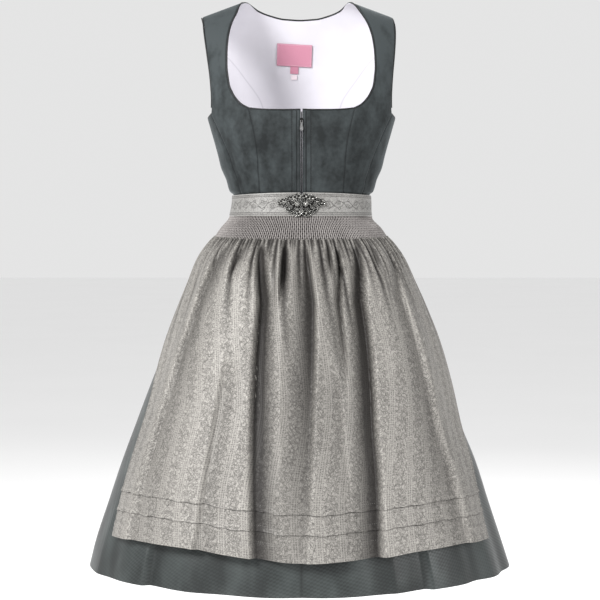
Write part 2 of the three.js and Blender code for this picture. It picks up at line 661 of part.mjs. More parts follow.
// Waistband: one length round the waist, open in front behind the clasp
const BELT_COLUMNS = 48;
const BELT_OPENING = 1.2;
const BELT_ROWS = [0, 0.5, 0.76, 1];
const BELT_SIDE_DROP = 4.5;
function beltRow(share, offset) {
  return range(BELT_COLUMNS + 1, (column) => {
    const t = lerp(BELT_OPENING, 360 - BELT_OPENING, column / BELT_COLUMNS);
    const top = BELT_TOP - BELT_SIDE_DROP * Math.sin(t * DEG) ** 2;
    return beltRing(t, lerp(top, BELT_BOTTOM, share), offset);
  });
}
add("waistband", wall(BELT_ROWS.map((share) => beltRow(share, 0)), BELT_ROWS.map((share) => beltRow(share, -BELT_WALL))),
  COLOURS.ribbon);

// Smocked band: fine ribs on its outside over a plain inside
const smockBottom = (t) => SMOCK_BOTTOM + SMOCKING.rise * (t / SMOCKING.angle) ** 2;
function smockRow(share, count, offset) {
  return range(count + 1, (column) => {
    const t = lerp(-SMOCKING.angle, SMOCKING.angle, column / count);
    return skirtRing(t, lerp(BELT_BOTTOM - SEAM_GAP, smockBottom(t), share), offset(column));
  });
}
const ribbed = (column) => SMOCKING.outside - (column % 2 ? 0 : SMOCKING.rib);
add("apron_smocking", wall(
  [0, 1].map((share) => smockRow(share, 2 * SMOCKING.ribs, ribbed)),
  [0, 1].map((share) => smockRow(share, SMOCKING.columns, () => SMOCKING.inside)),
), COLOURS.smocking);

// Apron
const edgeLeft = curve(APRON_EDGES, "z", "left");
const edgeRight = curve(APRON_EDGES, "z", "right");
const apronLift = curve(APRON_LIFT, "z", "lift");
const apronRest = curve(APRON_REST, "z", "rest");

function furrows(t, share) {
  return FURROWS.reduce((sum, furrow) => {
    const blend = (top, middle, hem) => (share < 0.5 ? lerp(top, middle, share * 2) : lerp(middle, hem, share * 2 - 1));
    const fadeIn = furrow.from > 0 ? smooth(clamp((share - furrow.from) / 0.15, 0, 1)) : 1;
    const fadeOut = furrow.to < 1 ? smooth(clamp((furrow.to - share) / (0.6 * furrow.to), 0, 1)) : 1;
    const middle = blend(furrow.top, furrow.middle, furrow.hem);
    const deep = blend(furrow.deep, furrow.deepMiddle, furrow.deepHem);
    return Math.max(sum, deep * fadeIn * fadeOut * bell(t, middle, lerp(furrow.wide, furrow.wideHem, share)));
  }, 0);
}

function apronPlace(u, share) {
  const across = (z) => lerp(edgeLeft(z), edgeRight(z), u);
  const topZ = smockBottom(across(SMOCK_BOTTOM)) - SEAM_GAP;
  const cornerT = across(APRON_HEM);
  const hemZ = APRON_HEM + APRON_CORNER_RISE * (cornerT / 62) ** 2;
  const z = lerp(topZ, hemZ, share);
  return { t: across(z), z };
}

// How far the apron's outside stands off the skirt's ring
function apronStand(t, z, share) {
  const envelope = lerp(1, 0.15, smooth(clamp((Math.abs(t) - 48) / 20, 0, 1)));
  return apronRest(z) + apronLift(z) * envelope * (1 - furrows(t, share));
}

function apronRow(share, offset) {
  return range(APRON_COLUMNS + 1, (column) => {
    const { t, z } = apronPlace(column / APRON_COLUMNS, share);
    return skirtRing(t, z, apronStand(t, z, share) + offset(column, t, z));
  });
}
function gather(column, t, z) {
  const fallen = (smockBottom(t) - z) / GATHERS.fade;
  return (column % 2) * GATHERS.height * Math.exp(-fallen * fallen) * smooth(clamp(fallen * 3, 0, 1));
}
add("apron_panel", wall(
  APRON_ROWS.map(({ share, raised }) => apronRow(share, (...place) => raised + gather(...place))),
  APRON_ROWS.filter(({ inside }) => inside).map(({ share }) => apronRow(share, () => -APRON_WALL)),
), COLOURS.apron, 0.45);

// Skirt: two front panels and the back, which takes the fulness in soft pleats
function skirtFold(t, z) {
  const down = clamp((WAIST_SEAM - z) / (WAIST_SEAM - SKIRT_HEM), 0, 1);
  if (Math.abs(t) <= BACK_PLEATS.from) {
    return -down * down * SKIRT_FOLDS.reduce((deep, fold) => Math.max(deep, fold.deep * bell(t, fold.angle, fold.wide)), 0);
  }
  const pleat = ((t - BACK_PLEATS.from) / (BACK_PLEATS.to - BACK_PLEATS.from)) * BACK_PLEATS.count;
  return -lerp(BACK_PLEATS.top, BACK_PLEATS.hem, down) * (0.5 - 0.5 * Math.cos(2 * Math.PI * pleat));
}

function skirtPanel(from, to, columns) {
  const row = (z, offset) => range(columns + 1, (column) => {
    const t = lerp(from + SEAM_ANGLE, to - SEAM_ANGLE, column / columns);
    return skirtRing(t, z, skirtFold(t, z) + offset);
  });
  return wall(SKIRT_ROWS.map((z) => row(z, 0)), SKIRT_ROWS.map((z) => row(z, -SKIRT_WALL)));
}
add("skirt_front_left", skirtPanel(SKIRT_SEAMS.left, SKIRT_SEAMS.front, 22), COLOURS.satin, 0.5);
add("skirt_front_right", skirtPanel(SKIRT_SEAMS.front, SKIRT_SEAMS.right, 22), COLOURS.satin, 0.5);
add("skirt_back", skirtPanel(SKIRT_SEAMS.right, 360 + SKIRT_SEAMS.left, 44), COLOURS.satin, 0.5);

// Clasp: two mirrored scroll plates in front of the waistband, each in two tiers with beads
const CLASP = { centre: -350.5, plate: 1.8, tier: 1.4, yaw: 6, pitch: 6.3, half: 0.25, clear: 0.35 };
const CLASP_OUTLINE = table(
  ["x", "z"],
  [0, 19], [7, 20.8], [13, 17.5], [19, 17.5], [25, 13.5], [32, 11.5], [38.5, 10], [42.5, 5], [40.5, 0],
  [34, -2.5], [28.5, -4], [27, -9.5], [23.5, -13.5], [18, -16], [13, -19.5], [6.5, -21], [0, -18],
);
const CLASP_BEADS = table(
  ["x", "z", "radius"],
  [37.5, 5.2, 3], [20, 11, 2.6], [20.5, -8, 2.6], [8, 15, 2.4], [8, -14.5, 2.4], [28, 4.5, 2.8], [11, 1, 4],
);

function claspHalf(side) {
  const outline = (grow, x0) => new THREE.Shape(CLASP_OUTLINE.map(({ x, z }) =>
    new THREE.Vector2(side * (CLASP.half + x0 + (x - x0) * grow), z * grow)));
  const plate = new THREE.ExtrudeGeometry(outline(1, 0), { depth: CLASP.plate, bevelEnabled: false });
  const tier = new THREE.ExtrudeGeometry(outline(0.72, 15), { depth: CLASP.tier + 0.5, bevelEnabled: false });
  tier.translate(0, 0, CLASP.plate - 0.5);
  const beads = CLASP_BEADS.map(({ x, z, radius }) => {
    const bead = new THREE.IcosahedronGeometry(radius, 0);
    return bead.translate(side * (CLASP.half + x), z, CLASP.plate + 0.6);
  });
  const geometry = join([plate, tier, ...beads]);
  geometry.rotateX(Math.PI / 2);
  const lean = new THREE.Matrix4().makeRotationX(-CLASP.pitch * DEG);
  const turn = new THREE.Matrix4().makeRotationZ(side * CLASP.yaw * DEG);
  return geometry.applyMatrix4(turn.premultiply(lean));
}

// The plate goes out until its back clears the waistband everywhere behind it
function claspSeat() {
  let seat = 0;
  for (let x = -44; x <= 44; x += 4) {
    for (let z = -22; z <= 22; z += 4) {
      const height = clamp(CLASP.centre + z, BELT_BOTTOM, BELT_TOP);
      const front = beltRing(Math.asin(x / 126) / DEG, height, 0);
      const plane = Math.abs(x) * Math.tan(CLASP.yaw * DEG) + z * Math.tan(CLASP.pitch * DEG);
      seat = Math.min(seat, front.y - plane);
    }
  }
  return seat - CLASP.clear;
}
for (const [name, side] of [["clasp_left", -1], ["clasp_right", 1]]) {
  const half = add(name, claspHalf(side), COLOURS.silver, 0.4, 0.9);
  half.position.set(0, claspSeat(), CLASP.centre);
}

// Label: bare, sewn inside the back under the neckline, with a small tab below it
const LABEL = { x: -12, z: -77, wide: 64, high: 40, tilt: -3, outside: 4.7, inside: 5.5 };
const TAB = { x: -12.5, z: -104, wide: 15, high: 13, tilt: -3, outside: 3.8, inside: 4.6 };
function patchOnLining({ x, z, wide, high, tilt, outside, inside }, columns, rows) {
  const at = (depth) => range(rows + 1, (row) => range(columns + 1, (column) => {
    const across = (column / columns - 0.5) * -wide;
    const up = (0.5 - row / rows) * high;
    const turn = tilt * DEG;
    const px = x + across * Math.cos(turn) - up * Math.sin(turn);
    const pz = z + across * Math.sin(turn) + up * Math.cos(turn);
    return cloth(spot(px, pz, true), depth);
  }));
  return wall(at(outside), at(inside));
}
add("label", patchOnLining(LABEL, 6, 3), COLOURS.label, 0.7);
add("label_tab", patchOnLining(TAB, 2, 1), COLOURS.label, 0.7);

export default dirndl;
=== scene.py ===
"""A dirndl as worn: the looks of its cloth, trims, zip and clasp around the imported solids.

Tables and sizes are in millimetres, as on the pattern, and angles in degrees. Meshes are in metres.
The front faces -Y and +X is the right of someone who looks at the front.
"""

from __future__ import annotations

import json
import logging
import math
from contextlib import contextmanager
from dataclasses import dataclass, field
from enum import Enum
from typing import Callable, Iterator, Sequence, Union

import bpy
import numpy as np
from mathutils import Matrix, Vector

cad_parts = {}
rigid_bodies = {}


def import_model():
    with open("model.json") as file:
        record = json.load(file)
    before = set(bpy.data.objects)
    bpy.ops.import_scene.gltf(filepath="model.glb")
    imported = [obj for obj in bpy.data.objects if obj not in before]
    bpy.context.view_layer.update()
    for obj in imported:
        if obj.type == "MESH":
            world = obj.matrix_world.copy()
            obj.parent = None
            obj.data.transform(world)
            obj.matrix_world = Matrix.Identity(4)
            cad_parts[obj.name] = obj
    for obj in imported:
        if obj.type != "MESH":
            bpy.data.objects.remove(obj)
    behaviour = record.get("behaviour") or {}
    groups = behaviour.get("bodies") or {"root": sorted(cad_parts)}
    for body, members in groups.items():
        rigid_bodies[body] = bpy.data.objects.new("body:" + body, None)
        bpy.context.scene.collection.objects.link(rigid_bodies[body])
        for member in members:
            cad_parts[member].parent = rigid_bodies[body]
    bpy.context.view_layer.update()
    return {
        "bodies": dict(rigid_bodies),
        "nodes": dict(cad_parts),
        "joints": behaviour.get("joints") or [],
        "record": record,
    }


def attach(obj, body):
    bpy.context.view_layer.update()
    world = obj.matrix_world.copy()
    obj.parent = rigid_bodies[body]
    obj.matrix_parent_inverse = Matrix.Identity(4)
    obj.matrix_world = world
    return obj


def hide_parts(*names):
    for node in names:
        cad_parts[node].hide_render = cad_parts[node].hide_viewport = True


LOG = logging.getLogger("dirndl")
MM = 0.001
DEG = math.pi / 180

ARMPIT = -197.0
WAIST_SEAM = -360.0
BELT_TOP = -329.0
BELT_BOTTOM = -370.0
SMOCK_BOTTOM = -411.0
APRON_HEM = -942.0
SKIRT_HEM = -992.0
SEAM_GAP = 0.3
SEAM_ANGLE = -0.01
FRONT_OPENING = 1.6

Row = tuple[float, ...]
Rows = tuple[Row, ...]
Places = np.ndarray


def smooth(share: np.ndarray) -> np.ndarray:
    """Eases a share from 0 to 1 with level ends."""
    share = np.clip(share, 0.0, 1.0)
    return share * share * (3 - 2 * share)


def bell(value: np.ndarray, middle: float, spread: float) -> np.ndarray:
    """A bell curve of height 1 round its middle."""
    return np.exp(-(((value - middle) / spread) ** 2))


def swell(phase: np.ndarray) -> np.ndarray:
    """A wave from 0 to 1 that starts at 0, from its phase in radians."""
    return 0.5 - 0.5 * np.cos(phase)


def monotone(places: np.ndarray, values: np.ndarray, at: np.ndarray) -> np.ndarray:
    """Reads a smooth curve that goes through every row and never overshoots.

    Args:
        places: Where the rows stand, rising.
        values: What they hold, one row each, with any further dimensions.
        at: Where the curve is read.

    Returns:
        The values there.
    """
    places = np.asarray(places, float)
    values = np.asarray(values, float)
    wide = (-1,) + (1,) * (values.ndim - 1)
    step = np.diff(places).reshape(wide)
    slope = np.diff(values, axis=0) / step
    tangent = np.empty_like(values)
    tangent[0], tangent[-1] = slope[0], slope[-1]
    if len(places) > 2:
        before, after = 2 * step[1:] + step[:-1], step[1:] + 2 * step[:-1]
        same = slope[:-1] * slope[1:] > 0
        low, high = np.where(same, slope[:-1], 1.0), np.where(same, slope[1:], 1.0)
        tangent[1:-1] = np.where(same, (before + after) / (before / low + after / high), 0.0)
    at = np.clip(np.asarray(at, float), places[0], places[-1])
    k = np.clip(np.searchsorted(places, at, side="right") - 1, 0, len(places) - 2)
    run = step.ravel()[k].reshape(at.shape + (1,) * (values.ndim - 1))
    u = (at - places[k]).reshape(run.shape) / run
    rise = values[k + 1] - values[k]
    start, end = tangent[k] * run, tangent[k + 1] * run
    return values[k] + start * u + (3 * rise - 2 * start - end) * u**2 + (start + end - 2 * rise) * u**3


@dataclass(frozen=True)
class Profile:
    """A table whose first column is a place and whose other columns are read as smooth curves."""

    rows: Rows

    def __call__(self, at: np.ndarray, column: int = 1) -> np.ndarray:
        """Reads one column of the table.

        Args:
            at: Where to read it.
            column: Which column, counted from 0.

        Returns:
            Its values there.
        """
        table = np.array(sorted(self.rows))
        return monotone(table[:, 0], table[:, column], np.asarray(at, float))


@dataclass(frozen=True)
class Ring:
    """Rounded rings round the figure: height, left, right, front, back, and the outline's power."""

    profile: Profile

    def point(self, t: np.ndarray, z: np.ndarray, offset: np.ndarray) -> np.ndarray:
        """Finds points outside a ring.

        Args:
            t: Angles from centre front, positive to the right.
            z: Heights.
            offset: How far each point stands out.

        Returns:
            The points, with the coordinates last.
        """
        t, z, offset = np.broadcast_arrays(np.asarray(t, float), z, offset)
        across, front = np.sin(t * DEG), np.cos(t * DEG) >= 0
        power = self.profile(z, 5)
        half = np.where(across < 0, self.profile(z, 1), self.profile(z, 2))
        reach = np.where(front, self.profile(z, 3), self.profile(z, 4))
        side = np.maximum(1e-9, 1 - np.abs(across) ** power) ** (1 / power)
        facing = np.where(front, -1.0, 1.0)
        nx = np.sign(across) * np.abs(across) ** (power - 1) / half
        ny = facing * side ** (power - 1) / reach
        length = np.hypot(nx, ny)
        x = half * across + offset * nx / length
        y = facing * reach * side + offset * ny / length
        return np.stack([x, y, z], axis=-1)


@dataclass(frozen=True)
class Torso:
    """The bodice's surface, as an angle t and a level: 0 waist, 1 armpits, 2 shoulder line."""

    power: float = 2.4
    shoulder_half: float = 205.0
    shoulder_lean: float = 8.0
    shoulder_height: float = 9.5
    shoulder_slope: float = 0.38
    shoulder_round: float = 30.0
    neck_distance: float = 102.5
    set_back: float = 8.0
    fall: Row = (1.4, 0.9)
    top_level: float = 1.985
    bust: Row = (7.0, 33.0, 16.0, -228.0, 38.0)
    sections: Profile = Profile((
        (-360, 117, 84, 86), (-332.5, 121, 86, 87), (-327, 127.5, 89, 89), (-306, 134, 94.3, 90.4),
        (-284, 143.5, 100, 92.3), (-263, 148.5, 106, 95), (-241, 154.5, 111.5, 98),
        (-220, 160.5, 114, 99.4), (-197, 167, 112, 101),
    ))

    def shoulder_top(self, x: np.ndarray) -> np.ndarray:
        """The height of the shoulder line at a distance from the middle."""
        away = np.hypot(x, self.shoulder_round) - self.neck_distance
        return self.shoulder_height - self.shoulder_slope * away

    def high_half(self, up: np.ndarray) -> np.ndarray:
        """Half the width above the armpits, at a share of the way up to the shoulders."""
        armpit = self.sections.rows[-1][1]
        return armpit + (self.shoulder_half - armpit) * smooth(up)

    def surface(self, t: np.ndarray, level: np.ndarray) -> np.ndarray:
        """Finds points on the bodice.

        Args:
            t: Angles from centre front.
            level: Levels from 0 at the waist to 2 at the shoulders.

        Returns:
            The points, with the coordinates last.
        """
        t, level = np.broadcast_arrays(np.asarray(t, float), np.asarray(level, float))
        across, front = np.sin(t * DEG), np.cos(t * DEG) >= 0
        side = np.maximum(0.0, 1 - np.abs(across) ** self.power) ** (1 / self.power)
        low_z = WAIST_SEAM + (ARMPIT - WAIST_SEAM) * np.clip(level, 0, 1)
        reach = np.where(front, -self.sections(low_z, 2), self.sections(low_z, 3))
        up = np.clip(level - 1, 0, 1)
        rise, fall = np.sin(up * math.pi / 2), np.maximum(0.0, np.cos(up * math.pi / 2))
        x = np.where(level <= 1, self.sections(low_z), self.high_half(up)) * across
        z = np.where(level <= 1, low_z, ARMPIT + (self.shoulder_top(x) - ARMPIT) * rise)
        reach = reach * np.where(front, fall ** self.fall[0], fall ** self.fall[1])
        full, angle, spread, height, tall = self.bust
        bust = np.where(front, full * bell(np.abs(t), angle, spread) * bell(z, height, tall), 0.0)
        y = reach * side - bust + self.set_back * rise**2
        return np.stack([x - self.shoulder_lean * up**2, y, z], axis=-1)

    def outward(self, t: np.ndarray, level: np.ndarray) -> np.ndarray:
        """The directions straight out of the surface at these places."""
        along = self.surface(t + 0.25, level) - self.surface(t - 0.25, level)
        rise = self.surface(t, np.minimum(level + 0.004, 2.0)) - self.surface(t, level - 0.004)
        normal = np.cross(along, rise)
        x = self.surface(t, level)[..., 0]
        lean = self.shoulder_slope * x / np.hypot(x, self.shoulder_round)
        top = np.stack([lean, np.zeros_like(x), np.ones_like(x)], axis=-1)
        normal = np.where((level > self.top_level)[..., None], top, normal)
        return normal / np.linalg.norm(normal, axis=-1, keepdims=True)

    def cloth(self, places: np.ndarray, depth: np.ndarray) -> np.ndarray:
        """Points inside the surface.

        Args:
            places: Angles and levels, in the last dimension.
            depth: How far inside each lies.

        Returns:
            The points, with the coordinates last.
        """
        t, level = places[..., 0], places[..., 1]
        depth = np.broadcast_to(np.asarray(depth, float), t.shape)
        return self.surface(t, level) - self.outward(t, level) * depth[..., None]

    def spot(self, x: float, z: float, back: bool = False) -> np.ndarray:
        """Finds the place at a distance from the middle and a height.

        Args:
            x: The distance from the middle, positive to the right.
            z: The height.
            back: Whether the place is behind.

        Returns:
            Its angle and level.
        """
        level = (z - WAIST_SEAM) / (ARMPIT - WAIST_SEAM)
        half = float(self.sections(z))
        if z > ARMPIT:
            rise = min(1.0, (z - ARMPIT) / (float(self.shoulder_top(x)) - ARMPIT))
            level = 1 + math.asin(rise) / (math.pi / 2)
            half = float(self.high_half(np.array(level - 1)))
        t = math.asin(max(-1.0, min(1.0, x / half))) / DEG
        return np.array([180 - t if back else t, level])


TORSO = Torso()
SKIRT_RING = Ring(Profile((
    (-360, 118, 118, 85, 87, 2.4), (-372, 121, 118, 88, 90, 2.4), (-391, 136, 134, 99, 103, 2.36),
    (-413, 151, 149, 112, 118, 2.32), (-448, 173, 171, 130, 136, 2.27), (-484, 190, 190, 146, 152, 2.23),
    (-520, 206.6, 208.4, 160, 167, 2.2), (-591, 238, 239, 185, 193, 2.17), (-663, 267, 262, 208, 217, 2.15),
    (-734, 294, 282, 229, 239, 2.15), (-806, 321, 311, 250, 261, 2.15), (-877, 345, 334, 269, 282, 2.15),
    (-949, 369, 358, 284, 301, 2.15), (-992, 380, 372, 290, 309, 2.15),
)))
BELT_RING = Ring(Profile((
    (-370, 129, 126, 96, 98, 2.4), (-360, 126.5, 125, 94.9, 95.5, 2.4),
    (-350, 124.8, 124.5, 93.8, 93.2, 2.4), (-329, 124, 124, 91.5, 91.3, 2.4),
)))


def refined(coarse: np.ndarray, rows: np.ndarray, columns: np.ndarray) -> np.ndarray:
    """Reads a coarse grid of places at finer rows and columns.

    Args:
        coarse: The grid, rows first.
        rows: Row numbers, with fractions.
        columns: Column numbers, with fractions.

    Returns:
        The finer grid.
    """
    tall = monotone(np.arange(len(coarse)), coarse, rows)
    wide = monotone(np.arange(coarse.shape[1]), tall.transpose(1, 0, 2), columns)
    return wide.transpose(1, 0, 2)


def fine(count: int, per: int, edge: Sequence[float] = ()) -> np.ndarray:
    """Numbers from 0 to count with so many steps each, and some close to both ends."""
    steps = np.linspace(0, count, count * per + 1)
    near = np.array(edge)
    return np.unique(np.round(np.concatenate([steps, near, count - near]), 6))


def lengths(grid: np.ndarray, axis: int) -> np.ndarray:
    """The length run along a grid's rows or columns up to each point."""
    steps = np.linalg.norm(np.diff(grid, axis=axis), axis=-1)
    start = np.zeros_like(np.take(steps, [0], axis=axis))
    return np.concatenate([start, np.cumsum(steps, axis=axis)], axis=axis)


def area(grid: np.ndarray) -> float:
    """The area of a grid of points in millimetres, in square metres."""
    across, down = grid[1:, 1:] - grid[:-1, :-1], grid[1:, :-1] - grid[:-1, 1:]
    return float(np.linalg.norm(np.cross(across, down), axis=-1).sum()) / 2 * MM**2


def strip(upper: Sequence[int], lower: Sequence[int], even: bool = True,
          points: Sequence = ()) -> list[tuple[int, int, int]]:
    """Fills the band between two lines of points.

    Args:
        upper: The points of the upper line.
        lower: Those of the lower line.
        even: Whether both lines are stepped by count, or else by length.
        points: The coordinates, where the lines are stepped by length.

    Returns:
        The triangles.
    """
    def shares(line: Sequence[int]) -> np.ndarray:
        """How far along its line each point is."""
        if even:
            return np.linspace(0, 1, len(line))
        run = lengths(np.asarray(points)[list(line)], 0)
        return run / run[-1]

    faces, i, j = [], 0, 0
    high, low = shares(upper), shares(lower)
    while i < len(upper) - 1 or j < len(lower) - 1:
        next_high = high[i + 1] if i < len(upper) - 1 else math.inf
        next_low = low[j + 1] if j < len(lower) - 1 else math.inf
        if next_low <= next_high + 1e-9:
            faces.append((upper[i], lower[j], lower[j + 1]))
            j += 1
        else:
            faces.append((upper[i], lower[j], upper[i + 1]))
            i += 1
    return faces


def new_object(name: str, points: np.ndarray, faces: Sequence, uv: np.ndarray | None = None,
               sharp: float = 50.0) -> bpy.types.Object:
    """Makes a smooth mesh object.

    Args:
        name: Its name.
        points: The points in millimetres.
        faces: The faces, each a run of point numbers.
        uv: Cloth coordinates in metres for each point, if it has them.
        sharp: The angle past which an edge stays sharp.

    Returns:
        The object.
    """
    mesh = bpy.data.meshes.new(name)
    mesh.from_pydata((np.asarray(points) * MM).tolist(), [], [list(map(int, face)) for face in faces])
    if uv is not None:
        layer = mesh.uv_layers.new(name="cloth")
        corner = np.empty(len(mesh.loops), int)
        mesh.loops.foreach_get("vertex_index", corner)
        layer.data.foreach_set("uv", np.asarray(uv, np.float32)[corner].ravel())
    mesh.polygons.foreach_set("use_smooth", [True] * len(mesh.polygons))
    mesh.set_sharp_from_angle(angle=math.radians(sharp))
    mesh.validate()
    made = bpy.data.objects.new(name, mesh)
    bpy.context.scene.collection.objects.link(made)
    return made


def cloth_wall(name: str, outside: np.ndarray, inside: np.ndarray, uv_out: np.ndarray,
               uv_in: np.ndarray | None = None, shade: np.ndarray | None = None) -> bpy.types.Object:
    """Makes a closed wall of cloth from its two sides.

    Args:
        name: The piece's name.
        outside: The outside grid, rows from the top and columns from the left.
        inside: The inside grid, which may be coarser.
        uv_out: Cloth coordinates of the outside in metres.
        uv_in: Those of the inside, if its grid differs.
        shade: Painted shade for the material to mix in: how sunk each outside point is, from 0 to 1.

    Returns:
        The object.
    """
    uv_in = uv_out if uv_in is None else uv_in
    count = outside.shape[0] * outside.shape[1]
    front = np.arange(count).reshape(outside.shape[:2])
    back = count + np.arange(inside.shape[0] * inside.shape[1]).reshape(inside.shape[:2])
    points = np.concatenate([outside.reshape(-1, 3), inside.reshape(-1, 3)])
    quads = [np.stack([front[:-1, :-1], front[1:, :-1], front[1:, 1:], front[:-1, 1:]], -1).reshape(-1, 4),
             np.stack([back[:-1, :-1], back[:-1, 1:], back[1:, 1:], back[1:, :-1]], -1).reshape(-1, 4)]
    faces: list = [face for block in quads for face in block.tolist()]
    faces += strip(back[0].tolist(), front[0].tolist())
    faces += strip(front[-1].tolist(), back[-1].tolist())
    faces += strip(front[:, 0].tolist(), back[:, 0].tolist(), False, points)
    faces += strip(back[:, -1].tolist(), front[:, -1].tolist(), False, points)
    made = new_object(name, points, faces, np.concatenate([uv_out.reshape(-1, 2), uv_in.reshape(-1, 2)]))
    # The shade attribute carries painted shade, which the materials mix in as a darker colour.
    if shade is not None:
        values = np.zeros(len(points), np.float32)
        values[:count] = np.clip(np.broadcast_to(shade, outside.shape[:2]), 0, 1).ravel()
        if inside.shape == outside.shape:
            values[count:] = values[:count]
        made.data.attributes.new("shade", "FLOAT", "POINT").data.foreach_set("value", values)
    return made


def tube(name: str, centres: np.ndarray, out: np.ndarray, up: np.ndarray, radius: float,
         sides: int) -> bpy.types.Object:
    """Makes a round cord that follows points.

    Args:
        name: The piece's name.
        centres: The points that it follows.
        out: A direction across the cord at each point.
        up: The other direction across it.
        radius: Its radius.
        sides: How many sides it has.

    Returns:
        The object.
    """
    turn = np.arange(sides) * 2 * math.pi / sides
    spokes = np.cos(turn)[:, None] * out[:, None] + np.sin(turn)[:, None] * up[:, None]
    rings = centres[:, None] + radius * spokes
    number = np.arange(len(centres) * sides).reshape(len(centres), sides)
    after = np.roll(number, -1, axis=1)
    quads = np.stack([number[:-1], after[:-1], after[1:], number[1:]], -1).reshape(-1, 4)
    faces = [*quads.tolist(), number[0][::-1].tolist(), number[-1].tolist()]
    run = lengths(centres, 0)
    uv = np.stack([np.repeat(run[:, None], sides, 1), np.tile(turn * radius, (len(run), 1))], -1) * MM
    made = new_object(name, rings.reshape(-1, 3), faces, uv.reshape(-1, 2))
    face_out(made)
    return made


def select_only(piece: bpy.types.Object) -> None:
    """Selects one object alone and makes it active."""
    bpy.ops.object.select_all(action="DESELECT")
    piece.select_set(True)
    bpy.context.view_layer.objects.active = piece


@contextmanager
def editing(piece: bpy.types.Object) -> Iterator[None]:
    """Opens one object in edit mode with all of it selected, and closes it again."""
    select_only(piece)
    bpy.ops.object.mode_set(mode="EDIT")
    bpy.ops.mesh.select_all(action="SELECT")
    yield
    bpy.ops.object.mode_set(mode="OBJECT")


def face_out(piece: bpy.types.Object) -> None:
    """Turns a closed mesh's faces outward."""
    with editing(piece):
        bpy.ops.mesh.normals_make_consistent(inside=False)


def copies(name: str, model: bpy.types.Object, frames: Sequence[np.ndarray]) -> bpy.types.Object:
    """Joins many copies of one modelled shape into one mesh.

    Args:
        name: The new piece's name.
        model: The shape, modelled round the origin in millimetres times MM. It is removed.
        frames: A 4 by 4 matrix for each copy, with its place in millimetres.

    Returns:
        The joined object.
    """
    mesh = model.data
    points = np.empty(len(mesh.vertices) * 3)
    mesh.vertices.foreach_get("co", points)
    points = points.reshape(-1, 3) / MM
    base = [tuple(face.vertices) for face in mesh.polygons]
    spots, faces = [], []
    for index, frame in enumerate(frames):
        spots.append(points @ frame[:3, :3].T + frame[:3, 3])
        faces += [tuple(corner + index * len(points) for corner in face) for face in base]
    bpy.data.objects.remove(model)
    return new_object(name, np.concatenate(spots), faces, sharp=40.0)


def frame_at(place: np.ndarray, along: np.ndarray, out: np.ndarray) -> np.ndarray:
    """A frame with its X along a line and its Z out of the cloth.

    Args:
        place: Where it stands.
        along: The direction of its X.
        out: The direction that its Z leans to.

    Returns:
        A 4 by 4 matrix.
    """
    x = along / np.linalg.norm(along)
    y = np.cross(out, x)
    y /= np.linalg.norm(y)
    frame = np.eye(4)
    frame[:3, :3] = np.stack([x, y, np.cross(x, y)], axis=1)
    frame[:3, 3] = place
    return frame


def cloth_uv(across: np.ndarray, down: np.ndarray, size: Row) -> np.ndarray:
    """Cloth coordinates in metres, from shares of a sheet's width and length."""
    return np.stack(np.broadcast_arrays(across * size[0], down * size[1]), -1)


Number = Union[float, "Field"]


class Field:
    """A number that varies over a surface, with plain arithmetic on it."""

    def __init__(self, sheet: "Finish", socket: bpy.types.NodeSocket) -> None:
        """Keeps the socket that the number comes from."""
        self.sheet = sheet
        self.socket = socket

    def do(self, operation: str, other: Number = 0.0, third: Number = 0.0) -> "Field":
        """Applies one of the shader's operations to this number and others."""
        return self.sheet.math(operation, self, other, third)

    def __add__(self, other: Number) -> "Field":
        """Adds."""
        return self.do("ADD", other)

    def __sub__(self, other: Number) -> "Field":
        """Subtracts."""
        return self.do("SUBTRACT", other)

    def __mul__(self, other: Number) -> "Field":
        """Multiplies."""
        return self.do("MULTIPLY", other)

    def __truediv__(self, other: Number) -> "Field":
        """Divides."""
        return self.do("DIVIDE", other)

    def __abs__(self) -> "Field":
        """Drops the sign."""
        return self.do("ABSOLUTE")

    def wave(self, length: float) -> "Field":
        """A cosine of this number with that wavelength."""
        return (self * (2 * math.pi / length)).do("COSINE")

    def wrap(self, half: float) -> "Field":
        """This number folded back into minus half to half."""
        return self.do("WRAP", half, -half)

    def within(self, edge: float, soft: float) -> "Field":
        """1 where this number is under an edge and 0 above it, with a soft step."""
        return self.sheet.step(self, edge, soft)

    def near(self, middle: float, edge: float, soft: float) -> "Field":
        """1 where this number is close to a middle, with a soft step."""
        return abs(self - middle).within(edge, soft)

    def most(self, other: Number) -> "Field":
        """The larger of two numbers."""
        return self.do("MAXIMUM", other)


